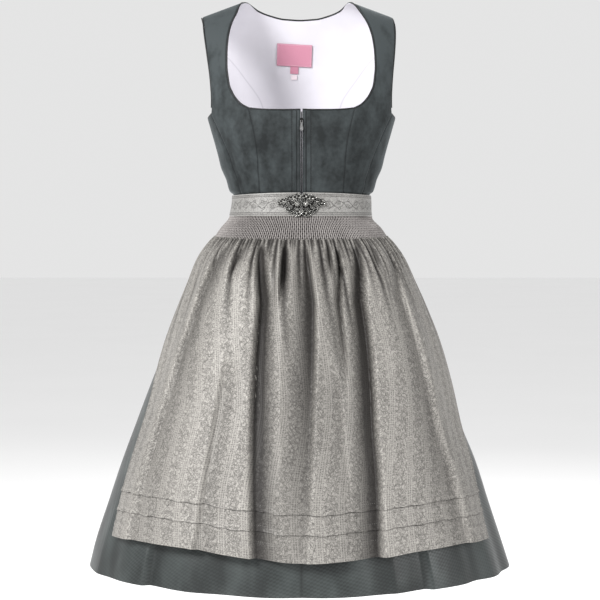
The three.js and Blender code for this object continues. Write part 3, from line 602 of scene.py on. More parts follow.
class Finish:
    """A material that is built up from fields."""

    def __init__(self, name: str) -> None:
        """Makes an empty material with its shader."""
        self.material = bpy.data.materials.new(name)
        self.material.use_nodes = True
        self.tree = self.material.node_tree
        self.tree.nodes.clear()
        self.shader = self.add("BsdfPrincipled")
        self.tree.links.new(self.shader.outputs[0], self.add("OutputMaterial").inputs[0])

    def add(self, kind: str) -> bpy.types.Node:
        """Adds one of the shader's nodes."""
        return self.tree.nodes.new(f"ShaderNode{kind}")

    def set(self, **values: object) -> "Finish":
        """Sets constants on the shader's own sockets, named with underscores for spaces."""
        for name, value in values.items():
            self.shader.inputs[name.replace("_", " ")].default_value = value
        return self

    def feed(self, socket: bpy.types.NodeSocket, value: Number) -> None:
        """Gives a socket a field or a constant."""
        if isinstance(value, Field):
            self.tree.links.new(value.socket, socket)
        else:
            socket.default_value = value

    def math(self, operation: str, first: Number, second: Number = 0.0, third: Number = 0.0) -> Field:
        """Adds a node that works out one operation."""
        node = self.add("Math")
        node.operation = operation
        for socket, value in zip(node.inputs, (first, second, third)):
            self.feed(socket, value)
        return Field(self, node.outputs[0])

    def step(self, value: Field, edge: float, soft: float) -> Field:
        """1 where a field is under an edge, falling to 0 over a soft width."""
        node = self.add("MapRange")
        node.interpolation_type = "SMOOTHSTEP"
        self.feed(node.inputs["Value"], value)
        node.inputs["From Min"].default_value = edge - soft / 2
        node.inputs["From Max"].default_value = edge + soft / 2
        node.inputs["To Min"].default_value = 1.0
        node.inputs["To Max"].default_value = 0.0
        return Field(self, node.outputs["Result"])

    def cloth(self) -> tuple[Field, Field]:
        """The cloth's own coordinates in millimetres, across and along."""
        node = self.add("UVMap")
        node.uv_map = "cloth"
        return self.coordinate(node.outputs[0], 0), self.coordinate(node.outputs[0], 1)

    def coordinate(self, place: bpy.types.NodeSocket, axis: int) -> Field:
        """One coordinate of a place, in millimetres."""
        split = self.add("SeparateXYZ")
        self.tree.links.new(place, split.inputs[0])
        return Field(self, split.outputs[axis]) * (1 / MM)

    def noise(self, size: float, detail: float = 2.0, stretch: Row = (1.0, 1.0, 1.0),
              seed: float = 0.0) -> Field:
        """A cloudy field from 0 to 1 over the object's own coordinates.

        Args:
            size: The size of its clouds in millimetres.
            detail: How many finer layers it has.
            stretch: How much finer it is along each axis.
            seed: Which cloud it is.

        Returns:
            The field.
        """
        place = self.add("TexCoord")
        turn = self.add("Mapping")
        turn.inputs["Scale"].default_value = [part / (size * MM) for part in stretch]
        turn.inputs["Location"].default_value = (seed, seed * 1.7, seed * 0.6)
        self.tree.links.new(place.outputs["Object"], turn.inputs["Vector"])
        node = self.add("TexNoise")
        node.inputs["Scale"].default_value = 1.0
        node.inputs["Detail"].default_value = detail
        self.tree.links.new(turn.outputs[0], node.inputs["Vector"])
        return Field(self, node.outputs[0])

    def height(self) -> Field:
        """The height on the object in millimetres."""
        return self.coordinate(self.add("TexCoord").outputs["Object"], 2)

    def mix(self, share: Field, low: Row | bpy.types.NodeSocket, high: Row) -> bpy.types.NodeSocket:
        """Mixes a colour with another by a field's share."""
        node = self.add("Mix")
        node.data_type = "RGBA"
        node.clamp_factor = True
        self.feed(node.inputs["Factor"], share)
        if isinstance(low, bpy.types.NodeSocket):
            self.tree.links.new(low, node.inputs[6])
        else:
            node.inputs[6].default_value = (*low, 1.0)
        node.inputs[7].default_value = (*high, 1.0)
        return node.outputs[2]

    def colour(self, share: Field, low: Row, high: Row, deep: Row | None = None,
               most: float = 0.9) -> "Finish":
        """Colours the surface from low to high by a field's share.

        Args:
            share: The field.
            low: The colour at 0.
            high: The colour at 1.
            deep: The painted shade colour, shown where the piece's own shade attribute is full, if it has
                any.
            most: How much of that colour shows there.

        Returns:
            This finish.
        """
        made = self.mix(share, low, high)
        # Painted shade: the deep colour is mixed in by the piece's shade attribute.
        if deep is not None:
            node = self.add("Attribute")
            node.attribute_name = "shade"
            made = self.mix(Field(self, node.outputs["Fac"]) * most, made, deep)
        self.tree.links.new(made, self.shader.inputs["Base Color"])
        return self

    def rough(self, share: Field) -> "Finish":
        """Lets a field set the roughness."""
        self.feed(self.shader.inputs["Roughness"], share)
        return self

    def bump(self, height: Field, depth: float, strength: float = 1.0) -> "Finish":
        """Raises a field of 0 to 1 by a depth in millimetres."""
        node = self.add("Bump")
        node.inputs["Strength"].default_value = strength
        node.inputs["Distance"].default_value = depth * MM
        self.feed(node.inputs["Height"], height)
        self.tree.links.new(node.outputs[0], self.shader.inputs["Normal"])
        return self


def scroll(x: Field, v: Field, cell: float, reach: float) -> Field:
    """A vine with a curl on alternate sides of its stem.

    Args:
        x: Distance across the vine in millimetres.
        v: Distance along it.
        cell: How far along it one curl takes.
        reach: How far out the curls go.

    Returns:
        1 on its lines and 0 off them.
    """
    number = (v / cell).do("FLOOR")
    within = v - (number + 0.5) * cell
    side = (number.do("FLOORED_MODULO", 2.0) * -2.0) + 1.0
    dx = x * side - reach * 0.36
    radius = (dx * dx + within * within).do("SQRT")
    turn = within.do("ARCTAN2", dx) / (2 * math.pi)
    coil = (radius / (reach * 0.23) - turn).do("FRACT") - 0.5
    curl = abs(coil).within(0.2, 0.16) * radius.within(reach * 0.5, 0.6)
    stem = abs(x + (v * (math.pi / cell)).do("SINE") * (reach * 0.55)).within(reach * 0.055, 0.5)
    bx, bv = x * side + reach * 0.62, within - cell * 0.12
    ring = abs((bx * bx + bv * bv).do("SQRT") - reach * 0.17).within(reach * 0.05, 0.5)
    cx, cv = x * side + reach * 0.3, within + cell * 0.36
    leaf = (cx * cx + cv * cv * 0.45).do("SQRT").within(reach * 0.1, 0.6)
    return curl.most(stem).most(ring).most(leaf)


@dataclass(frozen=True)
class Velvet:
    """Short-napped velvet, its pile brushed lighter in soft patches, with a painted highlight towards the
    straps and shoulders.
    """

    dark: Row = (0.0085, 0.0105, 0.0110)
    light: Row = (0.036, 0.043, 0.045)
    # Painted shade colour, for the seams, creases and placket grooves.
    deep: Row = (0.003, 0.0035, 0.004)
    strap_highlight: float = 0.7
    strap_height: Row = (-120.0, 200.0)
    patch: float = 26.0
    mottle: float = 7.0
    hair: float = 0.7
    middle: float = 0.36
    contrast: float = 2.9

    def material(self) -> bpy.types.Material:
        """Makes the velvet."""
        finish = Finish("velvet").set(Roughness=0.75, Sheen_Weight=0.24, Sheen_Roughness=0.35,
                                      Sheen_Tint=(0.72, 0.80, 0.83, 1.0), Specular_IOR_Level=0.2)
        broad = finish.noise(self.patch, 3.0, (1.0, 1.0, 0.55))
        patches = broad * 0.75 + finish.noise(self.mottle, 2.0, seed=3.0) * 0.25
        pile = finish.noise(self.hair, 2.0, seed=5.0)
        # Painted highlight: the velvet is coloured lighter upwards, over the straps and shoulders.
        strap = finish.height().within(*self.strap_height) * -self.strap_highlight + self.strap_highlight
        light = (patches - self.middle) * self.contrast + (pile - 0.5) * 0.4 + strap
        finish.colour(light, self.dark, self.light, self.deep)
        finish.bump(pile + patches * 0.6, 0.25, 0.5)
        return finish.material


@dataclass(frozen=True)
class Lining:
    """Thin white cotton lining with a slight lilac cast."""

    low: Row = (0.535, 0.52, 0.56)
    high: Row = (0.605, 0.59, 0.635)
    # Painted shade colour, for the seams and creases.
    deep: Row = (0.30, 0.29, 0.33)
    thread: float = 0.7
    cloud: float = 45.0

    def material(self) -> bpy.types.Material:
        """Makes the lining."""
        finish = Finish("lining").set(Roughness=0.8, Sheen_Weight=0.15, Specular_IOR_Level=0.25)
        u, v = finish.cloth()
        weave = u.wave(self.thread) * v.wave(self.thread)
        cloud = finish.noise(self.cloud, 2.0)
        finish.colour(cloud, self.low, self.high, self.deep, 0.6)
        finish.bump(weave * 0.3 + cloud, 0.3, 0.35)
        return finish.material


@dataclass(frozen=True)
class Cord:
    """Dark satin bias piping with the slant of its weave."""

    low: Row = (0.0025, 0.003, 0.0033)
    high: Row = (0.009, 0.0105, 0.011)
    twill: float = 1.1
    cloud: float = 9.0

    def material(self) -> bpy.types.Material:
        """Makes the piping's cloth."""
        finish = Finish("piping").set(Roughness=0.42, Sheen_Weight=0.05, Specular_IOR_Level=0.3)
        u, v = finish.cloth()
        slant = (u + v * 1.2).wave(self.twill) * 0.5 + 0.5
        finish.colour(slant * 0.5 + finish.noise(self.cloud, 2.0) * 0.5, self.low, self.high)
        finish.bump(slant, 0.12, 0.5)
        return finish.material


@dataclass(frozen=True)
class Satin:
    """Grey green satin with a tiny diamond figure on the slant."""

    low: Row = (0.0085, 0.0108, 0.0106)
    high: Row = (0.057, 0.068, 0.0665)
    # Painted shade colour, for the skirt's folds and its panel seams.
    deep: Row = (0.003, 0.004, 0.004)
    figure: Row = (9.0, 6.4)
    twill: float = 0.9
    cloud: float = 48.0
    contrast: float = 1.7
    base: float = 0.13

    def material(self) -> bpy.types.Material:
        """Makes the satin."""
        finish = Finish("satin").set(Metallic=0.1, Sheen_Weight=0.1, Sheen_Roughness=0.35,
                                     Specular_IOR_Level=0.45, Anisotropic=0.35)
        u, v = finish.cloth()
        checks = u.wave(self.figure[0]) * (v + u * 0.3).wave(self.figure[1])
        figure = checks.within(0.0, 0.9) * -1.0 + 1.0
        twill = (u * 0.9 + v).wave(self.twill) * 0.5 + 0.5
        # Large random clouds: partly the satin's uneven tone, partly painted light and shade of soft folds.
        cloud = finish.noise(self.cloud, 2.0, (1.0, 1.0, 0.45)) - 0.5
        light = figure * 0.26 + cloud * self.contrast + twill * 0.1 + self.base
        finish.colour(light, self.low, self.high, self.deep, 0.8)
        finish.rough(figure * -0.12 + 0.44)
        finish.bump(figure * 0.6 + twill * 0.25, 0.12, 0.5)
        return finish.material


@dataclass(frozen=True)
class Jacquard:
    """Silver grey jacquard: bands of small scrolls between bands of dotted lines."""

    low: Row = (0.034, 0.031, 0.029)
    high: Row = (0.285, 0.272, 0.251)
    # Painted shade colour, for the furrows, the gathers, under the tucks and in the hollow between the folds.
    deep: Row = (0.006, 0.0045, 0.004)
    pitch: float = 46.0
    band: float = 15.0
    cell: float = 15.5
    dots: Row = (5.2, 3.9)
    curls: Rows = ((8.0, 4.0), (7.0, 11.0))
    curl_line: float = 0.06
    gloss: float = 0.50

    def material(self) -> bpy.types.Material:
        """Makes the apron's cloth."""
        finish = Finish("apron").set(Metallic=0.08, Sheen_Weight=0.05, Sheen_Roughness=0.4,
                                     Specular_IOR_Level=0.22, Anisotropic=0.3)
        u, v = finish.cloth()
        drift = finish.noise(16, 1.0, seed=6.0) * 5.0
        x = u.wrap(self.pitch / 2)
        away = abs(x)
        vine = scroll(x, v + drift, self.cell, self.band * 0.85) * 0.8
        for size, seed in self.curls:
            curls = finish.noise(size, 0.0, seed=seed).near(0.5, self.curl_line, self.curl_line)
            vine = vine.most(curls * 0.7)
        band = away.within(self.band + 0.6, 0.8)
        across = (away - self.band - 0.5).wave(self.dots[0]) * 0.5 + 0.5
        dots = across * (v.wave(self.dots[1]) * 0.35 + 0.65)
        figure = vine * band + dots * (band * -0.9 + 0.9)
        speck = finish.noise(2.2, 2.0, seed=2.0) - 0.5
        coarse = finish.noise(6.0, 2.0, seed=8.0) - 0.5
        cloud = finish.noise(90, 2.0, (1.0, 1.0, 0.3)) - 0.5
        light = figure * -0.5 + 0.8 + speck * 1.3 + coarse * 0.3 + cloud * 0.3
        finish.colour(light, self.low, self.high, self.deep, 0.92)
        finish.rough(figure * 0.14 + self.gloss)
        finish.bump(figure * -0.7 + speck * 0.3, 0.16, 0.5)
        return finish.material


@dataclass(frozen=True)
class Smocked:
    """The apron's cloth drawn up in fine pleats, too narrow to show its figure."""

    low: Row = (0.085, 0.077, 0.074)
    high: Row = (0.41, 0.383, 0.369)
    # Painted shade colour, for the gaps between the ribs and the rows of stitching.
    deep: Row = (0.012, 0.010, 0.0095)

    def material(self) -> bpy.types.Material:
        """Makes the smocked cloth."""
        finish = Finish("smocking").set(Metallic=0.05, Sheen_Weight=0.05, Specular_IOR_Level=0.25,
                                        Roughness=0.55)
        speck = finish.noise(1.3, 2.0)
        cloud = finish.noise(30, 2.0, seed=1.0)
        finish.colour((speck - 0.5) * 1.4 + cloud * 0.4 + 0.3, self.low, self.high, self.deep, 0.95)
        finish.bump(speck, 0.12, 0.4)
        return finish.material


@dataclass(frozen=True)
class Ribbon:
    """Woven ribbon with a waving scroll between double border lines."""

    low: Row = (0.034, 0.031, 0.029)
    high: Row = (0.230, 0.225, 0.214)
    height: float = 41.0
    stem: Row = (36.0, 6.0)
    vine: Row = (18.0, 11.0)
    field_half: float = 12.5
    border: Rows = ((14.2, 0.6), (17.6, 0.6))
    dotted: float = 15.7

    def material(self) -> bpy.types.Material:
        """Makes the ribbon. Its cloth coordinates run round it and down from its top."""
        finish = Finish("waistband").set(Metallic=0.05, Sheen_Weight=0.12, Specular_IOR_Level=0.4)
        u, v = finish.cloth()
        middle = v - self.height * 0.5 + (finish.noise(14, 1.0, seed=9.0) - 0.5) * 5.0
        swing = (u * (2 * math.pi / self.stem[0])).do("SINE") * self.stem[1]
        wave = abs(middle - swing).within(0.7, 0.5)
        figure = scroll(middle, u + 3.0, *self.vine) * abs(middle).within(self.field_half, 1.0)
        edge = abs(v - self.height * 0.5)
        for place, half in self.border:
            figure = figure.most(edge.near(place, half, 0.4))
        dots = (u.wave(3.0) * v.wave(2.2)).within(0.1, 0.6) * -1.0 + 1.0
        figure = figure.most(dots * edge.near(self.dotted, 0.9, 0.4)).most(wave)
        rib = v.wave(1.3) * 0.5
        speck = finish.noise(1.4, 3.0) - 0.5
        curls = finish.noise(7.0, 0.0, seed=4.0).near(0.5, 0.05, 0.05)
        curls = curls * edge.within(self.field_half, 1.0) * 0.4
        light = figure.most(curls) * -0.6 + 0.8 + speck * 2.2 + rib * 0.1
        finish.colour(light, self.low, self.high)
        finish.rough(figure * 0.1 + 0.5)
        finish.bump(figure * -0.6 + rib * 0.3, 0.2, 0.5)
        return finish.material


@dataclass(frozen=True)
class Metal:
    """Silver-coloured cast metal, darker and lighter in small random patches."""

    name: str = "metal"
    low: Row = (0.10, 0.10, 0.10)
    high: Row = (0.62, 0.61, 0.59)
    roughness: float = 0.32
    grain: float = 2.2

    def material(self) -> bpy.types.Material:
        """Makes the metal."""
        finish = Finish(self.name).set(Metallic=1.0)
        wear = finish.noise(self.grain, 3.0)
        finish.colour((wear - 0.32) * 2.6, self.low, self.high)
        finish.rough(wear * -0.2 + self.roughness + 0.1)
        finish.bump(wear, 0.15, 0.35)
        return finish.material


@dataclass(frozen=True)
class Woven:
    """A plain small weave in one colour, such as the label's, a tape's or a thread's."""

    name: str
    low: Row
    high: Row
    roughness: float = 0.6
    thread: float = 0.8

    def material(self) -> bpy.types.Material:
        """Makes the weave."""
        finish = Finish(self.name).set(Roughness=self.roughness, Sheen_Weight=0.2)
        grain = finish.noise(self.thread, 2.0, (1.0, 1.0, 1.8))
        finish.colour(grain, self.low, self.high)
        finish.bump(grain, 0.1, 0.4)
        return finish.material


def dress(piece: bpy.types.Object, material: bpy.types.Material, slot: str, *nodes: str) -> bpy.types.Object:
    """Gives a finished piece its material, its body and the solids that it stands for.

    Args:
        piece: The piece.
        material: Its material.
        slot: The record's material slot; not used.
        nodes: The solids that it replaces.

    Returns:
        The piece.
    """
    piece.data.materials.clear()
    piece.data.materials.append(material)
    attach(piece, "root")
    if nodes:
        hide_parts(*nodes)
    LOG.info("%s: %d faces", piece.name, len(piece.data.polygons))
    return piece


@dataclass(frozen=True)
class Crease:
    """A soft crease on the bodice between two spots, as angles and heights."""

    start: Row
    end: Row
    wide: float
    deep: float
    end_share: float = 0.35
    millimetres_per_degree: float = 2.6

    def depth(self, t: np.ndarray, z: np.ndarray) -> np.ndarray:
        """How far the crease pushes the cloth in at these places."""
        scale = np.array([self.millimetres_per_degree, 1.0])
        a, b = np.array(self.start) * scale, np.array(self.end) * scale
        p = np.stack([t * scale[0], z], -1) - a
        run = b - a
        share = np.clip((p @ run) / (run @ run), 0, 1)
        away = np.linalg.norm(p - share[..., None] * run, axis=-1)
        fade = self.end_share + (1 - self.end_share) * np.sin(share * math.pi)
        return self.deep * bell(away, 0.0, self.wide) * fade


@dataclass
class Bodice:
    """Seven shell panels of velvet over seven of lining, with piping along the open edges."""

    shell: Row = (0.0, 1.6)
    lining: Row = (1.9, 2.9)
    seam_dip: float = 0.9
    seam_width: float = 1.3
    seam_shade: Row = (0.75, 1.1)
    crease_shade: float = 0.22
    placket: Row = (7.2, 16.5)
    neck_point: float = 98.0
    shoulder_point: float = 168.5
    ends: Row = (2 - 0.006, 2 - 0.0005)
    neck_corner: float = -184.5
    arm_corner: float = -192.0
    low_rows: Row = (-360, -332.5, -327, -300, -275, -242, -210)
    under_arm: Rows = ((159.5, -192), (166, -198.5))
    under_middle: Row = (90, 0.985)
    behind_arm: Rows = ((165, -198), (157, -182), (151, -155), (150.5, -110), (154, -66))
    neck_spots: Row = (98, 76, 52, 27)
    back_seam_rows: Row = (-195, -178, -160, -142, -124, -105, -86, -66)
    back_arm_rows: Row = (-44, -29)
    princess: Profile = Profile(((-360, 70), (-323, 74), (-261, 77), (-221, 83.6), (-184.5, 92)))
    side_seam: Profile = Profile((
        (-360, 99.5), (-325, 108), (-290, 118), (-261, 129.5), (-227, 142), (-205, 153), (-192, 159.5)))
    back_princess: Profile = Profile((
        (-360, 48), (-300, 54), (-240, 60), (-195, 66), (-164, 74), (-125, 100), (-86, 131), (-66, 154)))
    neck_strap: Profile = Profile((
        (-184.5, 92), (-178, 104), (-168.5, 114), (-156, 122), (-140, 128), (-118, 131), (-95, 131.5),
        (-68, 130), (-44, 126), (-24, 119), (-6, 109), (9.5, 98)))
    arm_front: Profile = Profile((
        (-192, 159.5), (-175, 158.5), (-160, 158.5), (-140, 159.5), (-115, 161.5), (-88, 164.5),
        (-60, 167), (-37, 168.5), (-17.3, 168.5)))
    arm_back: Profile = Profile(((-66, 154), (-42, 159), (-17.3, 168.5)))
    neck_low: Profile = Profile(((1.6, -187.5), (30, -188), (60, -187.5), (92, -184.5)))
    back_neck: Profile = Profile((
        (0, -17), (27, -15.5), (44, -12.5), (60, -7.5), (76, -1), (90, 6.5), (98, 9.5)))
    strap_rows: Rows = (
        (-178, -183), (-168.5, -172), (-156, -158), (-140, -142), (-118, -121), (-92, -96), (-62, -70),
        (-36, -48), (-13, -31))
    creases: tuple[Crease, ...] = (
        Crease((-68, -212), (-60, -318), 4.5, -1.6), Crease((-58, -232), (-52, -330), 7, 1.8),
        Crease((57, -275), (66, -322), 6, 2.4), Crease((50, -296), (60, -334), 5, -1.2),
        Crease((-22, -215), (-9, -300), 13, 1.1), Crease((16, -212), (24, -268), 12, 1.0),
        Crease((-44, -200), (-34, -232), 9, 1.4), Crease((42, -198), (36, -226), 9, 1.2),
        Crease((150, -230), (170, -320), 12, 1.3), Crease((205, -225), (190, -318), 12, 1.3),
        Crease((110, -240), (128, -330), 8, 1.6), Crease((-110, -240), (-128, -330), 8, 1.6),
    )

    def shoulder_spot(self, x: float, back: bool = False) -> Places:
        """The place on the shoulder seam at a distance from the middle."""
        t = math.asin(x / TORSO.shoulder_half) / DEG
        return np.array([180 - t if back else t, self.ends[1] if back else self.ends[0]])

    @staticmethod
    def across(left: Places, right: Places, columns: int) -> Places:
        """Places in a row between two."""
        share = np.linspace(0, 1, columns + 1)[:, None]
        return left + (right - left) * share

    @staticmethod
    def shifted(place: Places, angle: float) -> Places:
        """A place turned by an angle."""
        return place + np.array([angle, 0.0])

    def on(self, outline: Profile, z: float, turn: float = 0.0, back: bool = False) -> Places:
        """The place on an outline at a height, turned by an angle."""
        return self.shifted(TORSO.spot(float(outline(z)), z, back), turn)

    def front(self) -> Places:
        """The right centre front, from the neckline down to the waist."""
        columns, top = 4, self.low_rows[-1]
        rows = [self.across(TORSO.spot(FRONT_OPENING, z), self.on(self.princess, z, -SEAM_ANGLE), columns)
                for z in self.low_rows]
        meets = float(self.princess(top))
        for share in (0.5, 1.0):
            row = []
            for u in np.linspace(0, 1, columns + 1):
                low = FRONT_OPENING + (meets - FRONT_OPENING) * u
                high = FRONT_OPENING + (self.neck_low.rows[-1][0] - FRONT_OPENING) * u
                x = low + (high - low) * share
                z = top + (float(self.neck_low(x)) - top) * share
                row.append(self.shifted(TORSO.spot(x, z), -SEAM_ANGLE * u))
            rows.append(np.array(row))
        return np.array(rows[::-1])

    def side_front(self) -> Places:
        """The right side front and its strap, from the shoulder down."""
        def row(left: Places, right: Places) -> Places:
            """One row between the two edges."""
            return self.across(self.shifted(left, SEAM_ANGLE), self.shifted(right, -SEAM_ANGLE), 4)

        rows = [row(self.on(self.princess, z), self.on(self.side_seam, z)) for z in self.low_rows]
        top = self.low_rows[-1]
        for share in (0.25, 0.5, 0.75, 1.0):
            neck, arm = top + (self.neck_corner - top) * share, top + (self.arm_corner - top) * share
            rows.append(row(self.on(self.princess, neck), self.on(self.side_seam, arm)))
        for neck, arm in self.strap_rows:
            rows.append(row(self.on(self.neck_strap, neck), self.on(self.arm_front, arm)))
        rows.append(row(self.shoulder_spot(self.neck_point), self.shoulder_spot(self.shoulder_point)))
        return np.array(rows[::-1])

    @staticmethod
    def patch(bottom: Places, left: Places, right: Places, top: Places, fade: float) -> list[Places]:
        """Makes rows between a bottom row, two sides and a top row.

        Args:
            bottom: The row below.
            left: The left side, from the bottom up.
            right: The right side.
            top: The row at the top.
            fade: The higher it is, the fewer rows under the top one take its shape.

        Returns:
            The rows from the bottom up, without the bottom one.
        """
        rows, columns = len(left) - 1, len(top) - 1
        u = np.linspace(0, 1, columns + 1)[:, None]
        bent = [line - (line[0] * (1 - u) + line[-1] * u) for line in (bottom, top)]
        made = []
        for row in range(1, rows + 1):
            v = (row / rows) ** fade
            made.append(left[row] * (1 - u) + right[row] * u + bent[0] * (1 - v) + bent[1] * v)
        return made

    def side_back(self) -> Places:
        """The right side back, from the underarm down."""
        top = np.array([TORSO.spot(x, z) for x, z in self.under_arm] + [np.array(self.under_middle)]
                       + [TORSO.spot(x, z, True) for x, z in self.behind_arm])
        start = self.low_rows[-1]

        def seam(z: float) -> Places:
            """A place on the side seam."""
            return self.on(self.side_seam, z, SEAM_ANGLE)

        def back(z: float) -> Places:
            """A place on the back seam."""
            return self.on(self.back_princess, z, -SEAM_ANGLE, True)

        low = [self.across(seam(z), back(z), len(top) - 1) for z in self.low_rows]
        steps = len(self.back_seam_rows)
        left = np.array([seam(start + (self.arm_corner - start) * row / steps) for row in range(steps + 1)])
        right = np.array([back(z) for z in (start, *self.back_seam_rows)])
        top[0], top[-1] = left[-1], right[-1]
        return np.array((low + self.patch(low[-1], left, right, top, 1))[::-1])

    def back(self) -> Places:
        """The whole centre back, from the shoulders down, left to right as seen from behind."""
        shoulder = [self.shoulder_point, (self.shoulder_point + self.neck_point) / 2]
        neck = [*self.neck_spots, 0, *(-x for x in reversed(self.neck_spots))]
        top = np.array(
            [self.shoulder_spot(x, True) for x in shoulder]
            + [self.shoulder_spot(x, True) if abs(x) == self.neck_point
               else TORSO.spot(x, float(self.back_neck(abs(x))), True) for x in neck]
            + [self.shoulder_spot(-x, True) for x in reversed(shoulder)])

        def edge(z: float) -> Places:
            """A place on the back seam or, above it, on the armhole."""
            outline = self.arm_back if z > self.back_seam_rows[-1] else self.back_princess
            return self.on(outline, z, SEAM_ANGLE, True)

        def other(place: Places) -> Places:
            """The same place on the other side."""
            return np.array([360 - place[0], place[1]])

        low = [self.across(edge(z), other(edge(z)), len(top) - 1) for z in self.low_rows]
        heights = (self.low_rows[-1], *self.back_seam_rows, *self.back_arm_rows)
        sides = np.array([edge(z) for z in heights] + [top[0]])
        far = np.array([other(place) for place in sides])
        return np.array((low + self.patch(low[-1], sides, far, top, 3))[::-1])

    @staticmethod
    def mirrored(places: Places) -> Places:
        """The same panel on the other side."""
        turned = places[:, ::-1].copy()
        turned[..., 0] *= -1
        return turned

    def panel(self, name: str, places: Places, depths: Row, relief: Callable | None = None,
              dip: float | None = None) -> bpy.types.Object:
        """Makes one panel's wall.

        Args:
            name: The piece's name.
            places: Its fine grid.
            depths: How deep its outside and inside lie.
            relief: Gives how far the outside is raised and its painted shade, from its points.
            dip: How far its edges turn in.

        Returns:
            The panel.
        """
        base = TORSO.cloth(places, depths[0])
        run, drop = lengths(base, 1), lengths(base, 0)
        edge = np.minimum(run, run[:, -1:] - run)
        turned = (self.seam_dip if dip is None else dip) * bell(edge, 0.0, self.seam_width)
        turned = np.minimum(turned, 0.75 * (depths[1] - depths[0]))
        t, z = places[..., 0], base[..., 2]
        around = np.mod(t + 90, 360) - 90
        crease = sum((crease.depth(around if crease.start[0] > 90 else t, z) for crease in self.creases),
                     np.zeros(run.shape))
        # Painted shade along the seams and in the creases.
        dark, wide = self.seam_shade
        shade = dark * bell(edge, 0.0, wide) + self.crease_shade * np.clip(crease, 0, 2)
        raised = 0.0
        if relief:
            raised, sunk = relief(base)
            # sunk holds the painted shade of the placket's fold and grooves.
            shade = np.maximum(shade, sunk)
        outside = TORSO.cloth(places, depths[0] + crease + turned - raised)
        inside = TORSO.cloth(places, depths[1] + crease)
        return cloth_wall(name, outside, inside, np.stack([run, drop], -1) * MM, shade=shade)

    def placket_relief(self, base: np.ndarray) -> tuple[np.ndarray, np.ndarray]:
        """The raised fold beside the zip and the topstitched groove beyond it, with their painted shade."""
        away = np.abs(base[..., 0])
        fold, stitch = self.placket
        raised = 0.9 * smooth((fold + 0.8 - away) / 1.6)
        inner, edge, groove = bell(away, 3.4, 0.7), bell(away, fold + 1.0, 1.0), bell(away, stitch, 0.9)
        raised = raised - 0.4 * inner - 0.7 * edge - 0.8 * groove
        # Painted shade beside the fold's edge, in the groove and in the inner fold.
        return raised, np.maximum(0.85 * edge, np.maximum(0.75 * groove, 0.4 * inner))

    def build(self, velvet: bpy.types.Material, lining: bpy.types.Material) -> dict[str, Places]:
        """Builds all the panels.

        Args:
            velvet: The shell's material.
            lining: The lining's material.

        Returns:
            The coarse grids of the right half and the back, by name.
        """
        coarse = {"front": self.front(), "side_front": self.side_front(),
                  "side_back": self.side_back(), "back": self.back()}
        beside_zip, beyond = np.linspace(0, 20, 34), np.linspace(20, 74, 16)
        front_columns = np.unique(np.concatenate([beside_zip, beyond, [73.0, 73.6]])) / 74 * 4
        columns = {"front": front_columns, "side_front": fine(4, 7, (0.03, 0.07)),
                   "side_back": fine(7, 4, (0.05, 0.11)), "back": fine(12, 5, (0.05, 0.1))}
        for name, rough in coarse.items():
            rows = fine(len(rough) - 1, 5)
            grid = refined(rough, rows, columns[name])
            sides = {"": grid} if name == "back" else {"_left": self.mirrored(grid), "_right": grid}
            for side, places in sides.items():
                relief = self.placket_relief if name == "front" else None
                shell = self.panel(f"velvet_{name}{side}", places, self.shell, relief)
                dress(shell, velvet, "velvet", f"bodice_{name}{side}")
                inner = self.panel(f"cotton_{name}{side}", places, self.lining, dip=0.0)
                dress(inner, lining, "lining", f"lining_{name}{side}")
                base = TORSO.cloth(places, self.shell[1])
                for piece, other in ((shell, inner), (inner, shell)):
                    area(base)
        return coarse


